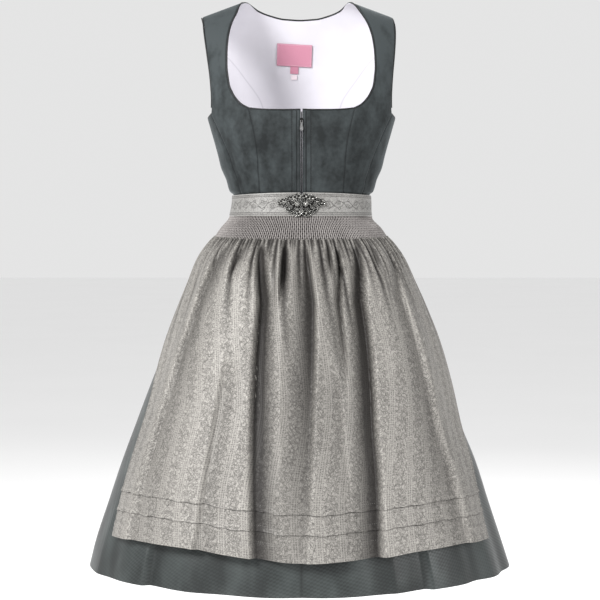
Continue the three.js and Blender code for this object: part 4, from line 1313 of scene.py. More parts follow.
@dataclass
class Piping:
    """Covered cord along the neckline and the armholes."""

    radius: float = 1.4
    sides: int = 10
    depth: float = 1.45
    per: int = 5
    end_gap: float = 3.0
    shortest: float = 1.2
    step: float = 3.0
    clear: float = 0.1

    def edge_points(self, edge: Places, within: Places) -> tuple[np.ndarray, ...]:
        """Points along one edge, with the directions out of the surface and away from the panel.

        Args:
            edge: Places along the edge.
            within: A place inside the panel next to each.

        Returns:
            The points, the outward directions and the directions away from the panel.
        """
        at = fine(len(edge) - 1, self.per)
        steps = np.arange(len(edge))
        places, inner = monotone(steps, edge, at), monotone(steps, within, at)
        points = TORSO.cloth(places, self.depth)
        away = points - TORSO.cloth(inner, self.depth)
        return points, TORSO.outward(places[:, 0], places[:, 1]), away

    def build(self, coarse: dict[str, Places], material: bpy.types.Material) -> None:
        """Builds the three lengths of piping.

        Args:
            coarse: The bodice's coarse grids.
            material: The piping's material.
        """
        front, strap, under, back = (coarse[name] for name in ("front", "side_front", "side_back", "back"))
        corner = len(Bodice.strap_rows) + 1
        right = [(front[0], front[1]), (strap[corner:0:-1, 0], strap[corner:0:-1, 1])]
        over = (back[0, 2:-2], back[1, 2:-2])
        self.lay("trim_neck", [*right, over, *self.mirrored(right)], material, "neck_piping")
        arm = [(strap[corner - 1:0:-1, -1], strap[corner - 1:0:-1, -2]), (back[0:4, 0], back[0:4, 1]),
               (under[0, ::-1], under[1, ::-1])]
        short = self.end_gap
        self.lay("trim_armhole_right", arm, material, "armhole_piping_right", (short, 0.0))
        self.lay("trim_armhole_left", self.mirrored(arm), material, "armhole_piping_left", (0.0, short))

    @staticmethod
    def mirrored(runs: list[tuple[Places, Places]]) -> list[tuple[Places, Places]]:
        """The same runs on the other side, in the opposite order."""
        return [(edge[::-1] * (-1, 1), within[::-1] * (-1, 1)) for edge, within in runs[::-1]]

    def lay(self, name: str, runs: list[tuple[Places, Places]], material: bpy.types.Material, node: str,
            short: Row = (0.0, 0.0)) -> None:
        """Lays one length of piping along its runs.

        Args:
            name: The piece's name.
            runs: The edges that it follows, in order, each with the places inside the panel.
            material: Its material.
            node: The solid that it stands for.
            short: How far each end stops short.
        """
        parts = [self.edge_points(*run) for run in runs]
        points, outward, away = (np.concatenate([part[column] for part in parts]) for column in range(3))
        gap = np.linalg.norm(np.diff(points, axis=0), axis=1)
        keep = np.concatenate([[True], gap > self.shortest])
        points, outward, away = points[keep], outward[keep], away[keep]
        run = lengths(points, 0)
        at = np.linspace(short[0], run[-1] - short[1], int(run[-1] / self.step))
        points, outward, away = (monotone(run, part, at) for part in (points, outward, away))
        along = np.gradient(points, axis=0)
        along /= np.linalg.norm(along, axis=1, keepdims=True)
        away -= along * np.sum(away * along, axis=1, keepdims=True)
        out = away / np.linalg.norm(away, axis=1, keepdims=True)
        centres = points + out * (self.radius + self.clear)
        cord = tube(name, centres, out, np.cross(out, along), self.radius, self.sides)
        dress(cord, material, "piping", node)


@dataclass
class Skirt:
    """Two front panels and a back, with soft folds in front and pleats from fine gathers behind."""

    wall: float = 2.0
    seam: float = -0.004
    dip: Row = (10.5, 40.0)
    folds: Rows = (
        (-78, 9, 8, 3), (-62, 7, 6, 5), (-44, 0.9, 9, 13), (-20.5, 7, 7, 7), (0, 4, 4, 6), (21, 6, 6, 6),
        (35, 8, 1.0, 13), (55, 5, 5, 9), (74, 6, 6, 7))
    pleats: int = 11
    behind: Row = (95.0, 265.0)
    pleat_depth: Row = (3.0, 14.0)
    gathers: int = 66
    gather: Row = (2.4, 70.0, 1.2, 17.0)
    edge_dip: float = 0.7
    back_flat: Row = (1.04, 0.66, 0.53)
    front_flat: Row = (0.50, 0.66, 0.29)

    def fold(self, t: np.ndarray, z: np.ndarray) -> np.ndarray:
        """How far the cloth stands in from the ring at these places."""
        down = np.clip((WAIST_SEAM - z) / (WAIST_SEAM - SKIRT_HEM), 0, 1)
        front = np.zeros(np.broadcast(t, z).shape)
        for angle, wide_left, wide_right, deep in self.folds:
            front = np.maximum(front, deep * bell(t, angle, np.where(t < angle, wide_left, wide_right)))
        start, end = self.behind
        share = (t - start) / (end - start)
        pleat = swell(2 * math.pi * self.pleats * share) ** 0.8
        top, hem = self.pleat_depth
        tall, reach, drift, drifts = self.gather
        phase = 2 * math.pi * self.gathers * share + drift * np.sin(drifts * share)
        gather = tall * bell(z, WAIST_SEAM, reach) * swell(phase)
        behind = (top + (hem - top) * down) * pleat + gather * smooth((WAIST_SEAM - 4 - z) / 8)
        return -np.where(np.abs(t) <= start, down**2 * front, behind)

    def build(self, material: bpy.types.Material) -> None:
        """Builds the three panels."""
        z = np.concatenate([np.linspace(-360.3, -400, 12), np.linspace(-412, SKIRT_HEM, 56)])
        for name, start, end, columns, flat in (
            ("front_left", -95, 0, 150, self.front_flat), ("front_right", 0, 95, 150, self.front_flat),
            ("back", 95, 265, 396, self.back_flat),
        ):
            t = np.linspace(start + self.seam, end - self.seam, columns + 1)[None, :]
            dip = self.dip[0] * bell(t, 0.0, self.dip[1]) / (WAIST_SEAM - SKIRT_HEM)
            rows = WAIST_SEAM + (z[:, None] - WAIST_SEAM) * (1 + dip)
            stand = self.fold(t, rows)
            edge = np.minimum(np.arange(columns + 1), columns - np.arange(columns + 1))
            # sunk turns the panel edges in, and also sets the painted shade along them.
            sunk = bell(edge, 0.0, 0.8)[None, :]
            outside = SKIRT_RING.point(t, rows, stand - self.edge_dip * sunk)
            inside = SKIRT_RING.point(t, rows, stand - self.wall)
            # Painted shade along the panel seams and in the deeper folds, below the apron's top.
            shade = np.maximum(0.8 * sunk, np.clip(-stand / 16, 0, 0.7) ** 2) * (rows < -420)
            v = lengths(outside, 0).mean(axis=1)[:, None]
            u = np.linspace(0, flat[0] / MM, columns + 1)[None, :]
            piece = cloth_wall(f"satin_{name}", outside, inside, cloth_uv(u, v, (MM, MM)), shade=shade)
            dress(piece, material, "satin", f"skirt_{name}")


@dataclass
class Smocking:
    """The apron's top, drawn into fine ribs by rows of stitching."""

    ribs: int = 140
    angle: float = 104.0
    outside: float = 8.2
    rib: float = 3.2
    inside: float = 4.0
    rise: float = 5.0
    swing: float = 0.07
    rib_half: float = 0.48
    pinch: float = 0.5
    pinch_half: float = 0.025
    flat: Row = (0.62, 0.042)
    cloth: Row = (0.9, 0.041)
    stitch_rows: Row = tuple(0.05 + 0.1 * row for row in range(10))

    def bottom(self, t: np.ndarray) -> np.ndarray:
        """The height of the band's lower edge."""
        return SMOCK_BOTTOM + self.rise * (t / self.angle) ** 2

    def place(self, u: np.ndarray, share: np.ndarray) -> tuple[np.ndarray, np.ndarray]:
        """The angle and height at shares of the width and height."""
        t = -self.angle + 2 * self.angle * u
        top = BELT_BOTTOM - SEAM_GAP
        return t, top + (self.bottom(t) - top) * share

    def relief(self, u: np.ndarray, share: np.ndarray) -> np.ndarray:
        """How high the ribs stand, each leaning to one neighbour and then to the other.

        Args:
            u: Shares of the width.
            share: Shares of the height.

        Returns:
            Their height from 0 to 1.
        """
        rib = u * self.ribs
        swing = self.swing * np.cos(math.pi * (share * len(self.stitch_rows) - 0.5))
        highest = np.zeros(np.broadcast(u, share).shape)
        for beside in (-1, 0, 1, 2):
            number = np.floor(rib) + beside
            centre = number + swing * np.where(number % 2 == 0, 1, -1)
            crown = np.clip(1 - ((rib - centre) / self.rib_half) ** 2, 0, 1) ** 0.8
            highest = np.maximum(highest, crown)
        return highest

    def build(self, material: bpy.types.Material) -> None:
        """Builds the band."""
        per, tall = 8, 41
        share = np.linspace(0, 1, tall)[:, None]
        u = np.linspace(0, 1, self.ribs * per + 1)[None, :]
        relief = self.relief(u, share)
        pinch = sum(bell(share, row, self.pinch_half) for row in self.stitch_rows)
        stand = self.outside - self.rib * (1 - relief) - self.pinch * pinch
        outside = SKIRT_RING.point(*self.place(u, share), stand)
        plain_u, plain_share = np.linspace(0, 1, 121)[None, :], share[::5]
        inside = SKIRT_RING.point(*self.place(plain_u, plain_share), self.inside)
        # Painted shade in the gaps between the ribs and at the rows of stitching.
        piece = cloth_wall(
            "smocked_band", outside, inside, cloth_uv(u, share, self.cloth),
            cloth_uv(plain_u, plain_share, self.cloth), 1.25 * (1 - relief) + 0.3 * pinch)
        dress(piece, material, "smocking", "apron_smocking")


@dataclass
class Apron:
    """The gathered panel with its deep folds, two tucks and a hem."""

    wall: float = 1.5
    flat: Row = (0.92, 0.545)
    smocking: Smocking = field(default_factory=Smocking)
    edges: Profile = Profile((
        (-406, -100, 100), (-520, -88, 92), (-625, -76, 86), (-700, -69, 80), (-841, -66, 68.6),
        (-945, -60.3, 63.8)))
    lift: Profile = Profile(((-406, 3), (-425, 12), (-480, 22), (-700, 24), (-945, 24)))
    rest: Profile = Profile(((-406, 6), (-520, 3), (-945, 3)))
    hem: Profile = Profile((
        (-62, -920), (-50, -918), (-32, -921), (-20, -929), (0, -942), (20, -935.5), (32, -927), (50, -923.5),
        (64, -926)))
    gathers: int = 46
    bulge: Profile = Profile(((0, 3.5), (0.02, 6.5), (0.06, 8), (0.14, 6), (0.3, 2.5), (0.55, 0), (1, 0)))
    zigzag: float = 2.6
    sharpness: Row = (0.26, 1.9)
    bends: Row = (0.0, 0.2, 1.0)
    # Painted shade over the hollow between the large folds: its middle, its width and its darkness.
    hollow_shade: Row = (5.0, 17.0, 0.24)
    seed: int = 7
    furrows: Rows = (
        (-26.5, -19, -11.6, 3, 4, 1, 1, 0.78, 0, 1), (3, 5.2, 0, 4, 5, 0.7, 0.9, 0.35, 0, 1),
        (37, 28.5, 20.5, 3.4, 4, 1, 1, 0.78, 0, 1), (-50, -53, -50.3, 5, 5, 0.7, 0.6, 0.3, 0, 1),
        (62.6, 51, 50, 4, 5, 0.6, 0.5, 0.4, 0, 1), (-11.2, -9.8, -9.8, 2.4, 2.4, 1, 1, 1, 0, 0.24),
        (16.8, 14, 14, 3, 3, 0.7, 0.7, 0.7, 0, 0.16), (23.5, 17.6, 14, 1.7, 1.7, 0.8, 0.7, 0.1, 0, 0.7),
        (31.5, 27, 27, 2.2, 2.2, 0.7, 0.7, 0.7, 0, 0.1), (46.3, 42, 42, 2.4, 2.4, 0.7, 0.6, 0.6, 0, 0.16),
        (-37.5, -36, -36, 2.6, 2.6, 0.8, 0.6, 0.6, 0, 0.14), (-19, -15, -15, 1.6, 1.6, 0.6, 0.5, 0.5, 0, 0.1),
        (18, 13, 14, 3, 3, 0.35, 0.35, 0.35, 0.35, 1), (-30, -29, -27.5, 3, 3, 0.35, 0.35, 0.35, 0.35, 1),
    )
    tucks: Rows = ((0.855, 2.0), (0.9165, 2.0))
    tuck_round: float = 0.018
    # Painted shadow under each tuck's lower edge: its start, its end and its darkness.
    tuck_shadow: Row = (-0.0004, 0.0024, 0.75)
    hem_line: Row = (0.948, 0.0016, 0.35)
    hem_step: Row = (0.955, 0.5)
    gather_lengths: Row = (0.05, 0.07, 0.1, 0.16, 0.26)

    def furrow(self, t: np.ndarray, share: np.ndarray) -> np.ndarray:
        """How deep the furrows cut at these places, from 0 to 1."""
        deepest = np.zeros(np.broadcast(t, share).shape)
        for top, middle, hem, wide, wide_hem, deep, deep_middle, deep_hem, start, end in self.furrows:
            angle = np.interp(share, self.bends, (top, middle, hem))
            depth = np.interp(share, self.bends, (deep, deep_middle, deep_hem))
            if start > 0:
                depth = depth * smooth((share - start) / 0.15)
            if end < 1:
                depth = depth * smooth((end - share) / (0.6 * end))
            sharp = np.where((t < angle) == (top < 0), *self.sharpness)
            spread = (wide + (wide_hem - wide) * share) * sharp
            deepest = np.maximum(deepest, depth * bell(t, angle, spread))
        return deepest

    def gathering(self, u: np.ndarray, share: np.ndarray) -> np.ndarray:
        """How far the small gathers below the smocking are drawn in, from 0 to 1."""
        rng = np.random.default_rng(self.seed)
        drawn = np.zeros(np.broadcast(u, share).shape)
        for number in range(self.gathers):
            middle = (number + rng.uniform(0.2, 0.8)) / self.gathers
            wide = rng.uniform(0.0034, 0.0062)
            length = rng.choice(self.gather_lengths) * rng.uniform(0.8, 1.2)
            lean = rng.uniform(-0.02, 0.02)
            across = bell(u, middle + lean * share, wide * (1 + 2.5 * share))
            drawn = np.maximum(drawn, across * bell(share, 0.0, length) * rng.uniform(0.7, 1))
        slit = (1 - self.teeth(u)) ** 1.5 * bell(share, 0.0, 0.03)
        return np.maximum(drawn, 0.9 * slit)

    def teeth(self, u: np.ndarray) -> np.ndarray:
        """The zigzag of the top edge, from 0 to 1, two ribs of the smocking to a tooth."""
        return np.abs(np.mod(u * self.smocking.ribs * 0.5, 1.0) * 2 - 1)

    def place(self, u: np.ndarray, share: np.ndarray) -> tuple[np.ndarray, np.ndarray]:
        """The angle and height at shares of the width and length."""
        def across(z: np.ndarray) -> np.ndarray:
            """The angle at a height."""
            left, right = self.edges(z, 1), self.edges(z, 2)
            return left + (right - left) * u

        start = self.smocking.bottom(across(np.array(SMOCK_BOTTOM))) - SEAM_GAP + self.zigzag * self.teeth(u)
        hem = self.hem(across(np.array(APRON_HEM)))
        z = start + (hem - start) * share
        return across(z), z

    def stand(self, t: np.ndarray, z: np.ndarray, share: np.ndarray) -> np.ndarray:
        """How far the outside stands off the skirt's ring."""
        envelope = 1 - 0.85 * smooth((np.abs(t) - 48) / 20)
        return self.rest(z) + self.lift(z) * envelope * (1 - self.furrow(t, share))

    def outer(self, u: np.ndarray, share: np.ndarray) -> tuple[np.ndarray, np.ndarray]:
        """Works out the outside.

        Args:
            u: Shares of the width.
            share: Shares of the length.

        Returns:
            Its points and their painted shade.
        """
        t, z = self.place(u, share)
        drawn = self.gathering(u, share)
        gather = self.bulge(share) * (1 - drawn)
        uneven = 0.0015 * np.sin(u * 61) + 0.001 * np.sin(u * 143 + 1)
        # line holds a painted shadow under each tuck's lower edge, and a darker line along the hem's
        # stitching.
        tuck, line = np.zeros_like(drawn), np.zeros_like(drawn)
        for height, raised in self.tucks:
            below = share - height - uneven
            tuck = np.maximum(tuck, raised * smooth(below / self.tuck_round + 1) * (below < 0.0002))
            start, end, dark = self.tuck_shadow
            line = np.maximum(line, dark * ((below >= start) & (below < end)))
        middle, wide, dark = self.hem_line
        line = np.maximum(line, dark * bell(share - uneven, middle, wide))
        line = line * (0.72 + 0.28 * np.sin(u * 37 + 2) * np.sin(u * 91))
        turned = self.hem_step[1] * (share > self.hem_step[0])
        outside = SKIRT_RING.point(t, z, self.stand(t, z, share) + gather + tuck + turned)
        # Painted shade in the furrows, fading out near the top where the panel is barely lifted.
        deep = self.furrow(t, share) ** 1.7 * smooth((self.lift(z) - 6) / 10)
        # Painted shade over the hollow between the large folds.
        middle, wide, dim = self.hollow_shade
        hollow_shade = dim * bell(t, middle, wide) * smooth(share / 0.1) * smooth((1 - share) / 0.6)
        # Painted shade: the gathers' folds, the furrows and the tuck shadows, then the hollow.
        shade = np.maximum(np.maximum(1.3 * drawn * smooth(self.bulge(share) / 2), 1.5 * deep), line)
        shade = np.clip(shade, 0, 1) * (1 - hollow_shade) + hollow_shade
        return outside, shade

    def build(self, material: bpy.types.Material) -> None:
        """Builds the panel."""
        share = np.unique(np.concatenate([
            np.linspace(0, 0.12, 23), np.linspace(0.12, 0.84, 52), np.linspace(0.84, 0.87, 17),
            np.linspace(0.87, 0.9, 4), np.linspace(0.9, 0.935, 17), np.linspace(0.935, 1, 14)]))[:, None]
        u = np.linspace(0, 1, 577)[None, :]
        outside, shade = self.outer(u, share)
        t, z = self.place(u, share)
        inside = SKIRT_RING.point(t, z, self.stand(t, z, share) - self.wall)[::2, ::2]
        uv = cloth_uv(u, share, self.flat)
        piece = cloth_wall("jacquard_apron", outside, inside, uv, uv[::2, ::2], shade)
        dress(piece, material, "apron", "apron_panel")


@dataclass
class Waistband:
    """One length of ribbon round the waist, open in front behind the clasp."""

    wall: float = 2.0
    opening: float = 1.2
    side_drop: float = 4.5
    flat: Row = (0.70, 0.041)

    def build(self, material: bpy.types.Material) -> None:
        """Builds the ribbon."""
        t = np.linspace(self.opening, 360 - self.opening, 361)[None, :]
        share = np.array([0, 0.02, 0.06, *np.linspace(0.1, 0.9, 17), 0.94, 0.98, 1.0])[:, None]
        top = BELT_TOP - self.side_drop * np.sin(t * DEG) ** 2
        z = top + (BELT_BOTTOM - top) * share
        soft = 0.5 * (bell(share, 0.0, 0.03) + bell(share, 1.0, 0.03))
        wave = 0.5 * np.sin(t * DEG * 9 + 3 * share) * np.sin(share * math.pi)
        outside = BELT_RING.point(t, z, wave - soft)
        inside = BELT_RING.point(t, z, -self.wall + soft * 0.5)
        piece = cloth_wall("ribbon_waistband", outside, inside, cloth_uv(t / 360, share, self.flat))
        dress(piece, material, "waistband", "waistband")


@dataclass
class Studio:
    """A pale floor and backdrop, soft lights, and the camera at the photograph's angle."""

    distance: float = 3.6
    horizon: float = -0.370
    millimetres_per_pixel: float = 1.786
    frame: int = 600
    horizon_row: float = 216.0
    middle_column: float = 301.5
    floor: float = -1.40
    ambient: float = 0.78
    lamps: tuple = (
        ("key", (-2.4, -2.9, 1.5), 1.2, 250.0), ("fill", (2.9, -2.2, 0.4), 1.8, 60.0),
        ("back", (0.8, 3.0, 1.8), 2.2, 60.0))

    def camera(self) -> None:
        """Makes the camera."""
        data = bpy.data.cameras.new("camera")
        data.sensor_width = 36.0
        data.lens = 36.0 * self.distance / (self.frame * self.millimetres_per_pixel * MM)
        camera = bpy.data.objects.new("camera", data)
        bpy.context.scene.collection.objects.link(camera)
        side = (self.frame / 2 - self.middle_column) * self.millimetres_per_pixel * MM
        drop = (self.frame / 2 - self.horizon_row) * self.millimetres_per_pixel * MM
        camera.location = (side, -self.distance, self.horizon)
        camera.rotation_euler = (math.pi / 2 - math.atan(drop / self.distance), 0.0, 0.0)
        bpy.context.scene.camera = camera

    def light(self, name: str, place: Row, size: float, power: float) -> None:
        """Adds one soft light that faces the dress.

        Args:
            name: The light's name.
            place: Where it stands, in metres.
            size: Its width and height in metres.
            power: Its power in watts.
        """
        data = bpy.data.lights.new(name, "AREA")
        data.size = size
        data.energy = power
        lamp = bpy.data.objects.new(name, data)
        lamp.location = place
        toward = Vector((0.0, 0.0, -0.5)) - Vector(place)
        lamp.rotation_euler = toward.to_track_quat("-Z", "Y").to_euler()
        bpy.context.scene.collection.objects.link(lamp)

    def build(self) -> None:
        """Sets the floor, the backdrop's light and the lamps."""
        bpy.ops.object.select_all(action="DESELECT")
        bpy.ops.mesh.primitive_plane_add(size=60.0, location=(0.0, 0.0, self.floor))
        floor = bpy.context.object
        floor.name = "floor"
        finish = Finish("floor").set(Roughness=0.9, Specular_IOR_Level=0.1)
        finish.colour(finish.noise(900, 2.0), (0.93, 0.93, 0.93), (0.96, 0.96, 0.96))
        floor.data.materials.append(finish.material)
        world = bpy.data.worlds.new("studio")
        bpy.context.scene.world = world
        world.use_nodes = True
        background = world.node_tree.nodes["Background"]
        background.inputs[0].default_value = (1.0, 1.0, 1.0, 1.0)
        background.inputs[1].default_value = self.ambient
        for lamp in self.lamps:
            self.light(*lamp)
        bpy.context.scene.view_settings.view_transform = "Standard"
        self.camera()


def modelled_bead(segments: int, rings: int, size: Row) -> bpy.types.Object:
    """Models one rounded bead round the origin, stretched to half-sizes in millimetres."""
    bpy.ops.object.select_all(action="DESELECT")
    bpy.ops.mesh.primitive_uv_sphere_add(segments=segments, ring_count=rings, radius=MM)
    bead = bpy.context.object
    with editing(bead):
        bpy.ops.transform.resize(value=size)
    return bead


def modelled_block(size: Row, bevel: float) -> bpy.types.Object:
    """Models one block round the origin with eased edges, its sizes in millimetres."""
    bpy.ops.object.select_all(action="DESELECT")
    bpy.ops.mesh.primitive_cube_add(size=MM)
    block = bpy.context.object
    with editing(block):
        bpy.ops.transform.resize(value=size)
        bpy.ops.mesh.bevel(offset=bevel * MM, segments=1)
    return block


def modelled_ring(thick: float) -> bpy.types.Object:
    """Models one ring of 1 millimetre round the origin, thick as a share of that."""
    bpy.ops.object.select_all(action="DESELECT")
    bpy.ops.mesh.primitive_torus_add(
        major_radius=MM, minor_radius=thick * MM, major_segments=20, minor_segments=6)
    return bpy.context.object


def joined(name: str, pieces: Sequence[bpy.types.Object]) -> bpy.types.Object:
    """Joins pieces into one object."""
    bpy.ops.object.select_all(action="DESELECT")
    for piece in pieces:
        piece.select_set(True)
    bpy.context.view_layer.objects.active = pieces[0]
    bpy.ops.object.join()
    pieces[0].name = name
    pieces[0].data.name = name
    return pieces[0]


class Side(Enum):
    """The two halves of the clasp, each with the sign of its X."""

    LEFT = -1
    RIGHT = 1


@dataclass
class Clasp:
    """Two mirrored filigree halves over blackened plates, in front of the waistband."""

    centre: float = -350.5
    yaw: float = 6.0
    pitch: float = 6.3
    half: float = 0.25
    clear: float = 0.35
    plate: float = 0.7
    centre_of_plate: Row = (17.0, 0.0)
    inset: float = 0.035
    wire: float = 0.6
    wire_depth: Row = (1.5, 1.2)
    wire_end: float = 0.15
    ring_thickness: float = 0.24
    petal: float = 1.35
    eye: Row = (0.9, 2.3)
    grain_lift: float = 0.4
    grain: Row = (0.85, 1.8)
    outline: Rows = (
        (0, 19), (7, 20.8), (13, 17.5), (19, 17.5), (25, 13.5), (32, 11.5), (38.5, 10), (42.5, 5), (40.5, 0),
        (34, -2.5), (28.5, -4), (27, -9.5), (23.5, -13.5), (18, -16), (13, -19.5), (6.5, -21), (0, -18))
    rings: Rows = (
        (4.6, 15.2, 2.9, 1.3), (11, 13.2, 2.7, 1.3), (17.6, 13, 2.6, 1.3), (23.5, 9.6, 2.4, 1.3),
        (29.6, 7.6, 2.3, 1.3), (35.2, 6, 2.3, 1.3), (38.8, 3.8, 1.8, 1.5), (33.5, 0.8, 2, 1.3),
        (4.4, -16, 2.7, 1.3), (10.6, -15, 2.5, 1.3), (16.4, -12, 2.3, 1.3), (21.8, -9.6, 2.1, 1.3),
        (24.4, -4.6, 2.2, 1.3), (28.4, 1.6, 2.2, 1.5), (3.4, 8.2, 2, 1.5), (3.2, -8.6, 2, 1.5))
    scrolls: Rows = (
        (16, 6.4, 4.2, 1.6, 20), (23, 2.4, 3.6, 1.5, 200), (10.2, -8, 4, 1.6, 140),
        (17.6, -4.4, 3.6, 1.5, 310), (9.6, 6.8, 3.4, 1.4, 250), (30.6, 4.2, 2.8, 1.4, 60), (7, 1, 5, 1.3, 0))
    beads: Rows = (
        (38.2, 6.8, 1.7, 2.2), (35.4, 3, 1.3, 2), (40, 2.2, 1.2, 1.8), (20, 11, 1.5, 2.2),
        (26.4, 5.4, 1.5, 2.4), (20.5, -8, 1.4, 2.2), (8, 14.8, 1.5, 2.2), (8, -14.5, 1.5, 2.2),
        (14.4, 0.6, 1.7, 2.6), (27, -1.8, 1.2, 2), (2.4, 12.4, 1.2, 2), (2.4, -12.6, 1.2, 2),
        (13.4, 10.2, 1.2, 2.2), (14, -12, 1.1, 2.2))
    flower: Row = (7.0, 1.0, 3.4, 2.3)
    petals: int = 7

    def pose(self, side: Side) -> np.ndarray:
        """The frame of one half: X to the right, Y up, and Z to the front."""
        x, z = np.meshgrid(np.arange(-44, 45, 4), np.arange(-22, 23, 4))
        height = np.clip(self.centre + z, BELT_BOTTOM, BELT_TOP)
        front = BELT_RING.point(np.arcsin(x / 126) / DEG, height, 0.6)[..., 1]
        plane = np.abs(x) * math.tan(self.yaw * DEG) + z * math.tan(self.pitch * DEG)
        seat = float(np.min(front - plane)) - self.clear
        tilt = Matrix.Rotation(-self.pitch * DEG, 4, "X")
        swing = Matrix.Rotation(side.value * self.yaw * DEG, 4, "Z")
        frame = np.array(tilt @ swing @ Matrix.Rotation(math.pi / 2, 4, "X"))
        frame[:3, 3] = (0, seat, self.centre)
        return frame

    def spot(self, side: Side, x: float, z: float, depth: float, size: float = 1.0) -> np.ndarray:
        """The frame of one element of a half, with its size."""
        frame = np.diag([size, size, size, 1.0])
        frame[:3, 3] = (side.value * (self.half + x), z, depth)
        return self.pose(side) @ frame

    def border(self) -> np.ndarray:
        """Points a bead apart along the outline."""
        corners = np.array([*self.outline, self.outline[0]], float)
        corners += (np.array(self.centre_of_plate) - corners) * self.inset
        run = lengths(corners, 0)
        at = np.linspace(0, run[-1], int(run[-1] / self.grain[1]))[:-1]
        return np.stack([np.interp(at, run, corners[:, axis]) for axis in range(2)], axis=-1)

    def scroll(self, side: Side, x: float, z: float, radius: float, turns: float,
               start: float) -> bpy.types.Object:
        """Makes one wire that coils in from its outer end.

        Args:
            side: The half that it is on.
            x: Its middle, across.
            z: Its middle, up.
            radius: Its outer radius.
            turns: How many turns it makes.
            start: The angle of its outer end.

        Returns:
            The wire.
        """
        share = np.linspace(0, 1, 34)
        angle = start * DEG + share * turns * 2 * math.pi
        reach = radius * (1 - (1 - self.wire_end) * share)
        low, rise = self.wire_depth
        flat = np.stack([side.value * (self.half + x + reach * np.cos(angle)), z + reach * np.sin(angle),
                         low + rise * share, np.ones_like(share)], axis=-1)
        pose = self.pose(side)
        points = (flat @ pose.T)[:, :3]
        out = np.broadcast_to(pose[:3, 2], points.shape)
        across = np.cross(np.gradient(points, axis=0), out)
        across /= np.linalg.norm(across, axis=1, keepdims=True)
        return tube("scroll", points, across, out, self.wire, 6)

    def build_plate(self, side: Side) -> bpy.types.Object:
        """Models the plate behind one half from a disc drawn out to the outline."""
        bpy.ops.object.select_all(action="DESELECT")
        bpy.ops.mesh.primitive_circle_add(vertices=len(self.outline), radius=MM, fill_type="NGON")
        plate = bpy.context.object
        for vertex, (x, z) in zip(plate.data.vertices, self.outline):
            vertex.co = Vector(np.array([side.value * (self.half + x), z, 0.0]) * MM)
        with editing(plate):
            bpy.ops.mesh.extrude_region_move(TRANSFORM_OT_translate={"value": (0, 0, self.plate * MM)})
        made = copies(f"clasp_plate_{side.name.lower()}", plate, [self.pose(side)])
        face_out(made)
        return made

    def build_half(self, side: Side) -> bpy.types.Object:
        """Builds one half's filigree."""
        x0, z0, reach, lift = self.flower
        turns = np.arange(self.petals) * 2 * math.pi / self.petals
        petals = [self.spot(side, x0 + reach * math.cos(turn), z0 + reach * math.sin(turn), lift, self.petal)
                  for turn in turns]
        small = [self.spot(side, x, z, self.plate + self.grain_lift, self.grain[0]) for x, z in self.border()]
        large = [self.spot(side, x, z, depth, radius) for x, z, radius, depth in self.beads]
        middle = [self.spot(side, x0, z0, lift + self.eye[0], self.eye[1])]
        rings = [self.spot(side, x, z, depth, radius) for x, z, radius, depth in self.rings]
        parts = [
            copies("grains", modelled_bead(8, 6, (1, 1, 1)), small),
            copies("beads", modelled_bead(14, 9, (1, 1, 1)), large + petals + middle),
            copies("rings", modelled_ring(self.ring_thickness), rings),
            *(self.scroll(side, *row) for row in self.scrolls),
        ]
        return joined(f"filigree_{side.name.lower()}", parts)

    def build(self, silver: bpy.types.Material, dark: bpy.types.Material) -> None:
        """Builds both halves."""
        for side in Side:
            dress(self.build_half(side), silver, "clasp", f"clasp_{side.name.lower()}")
            dress(self.build_plate(side), dark, "clasp")


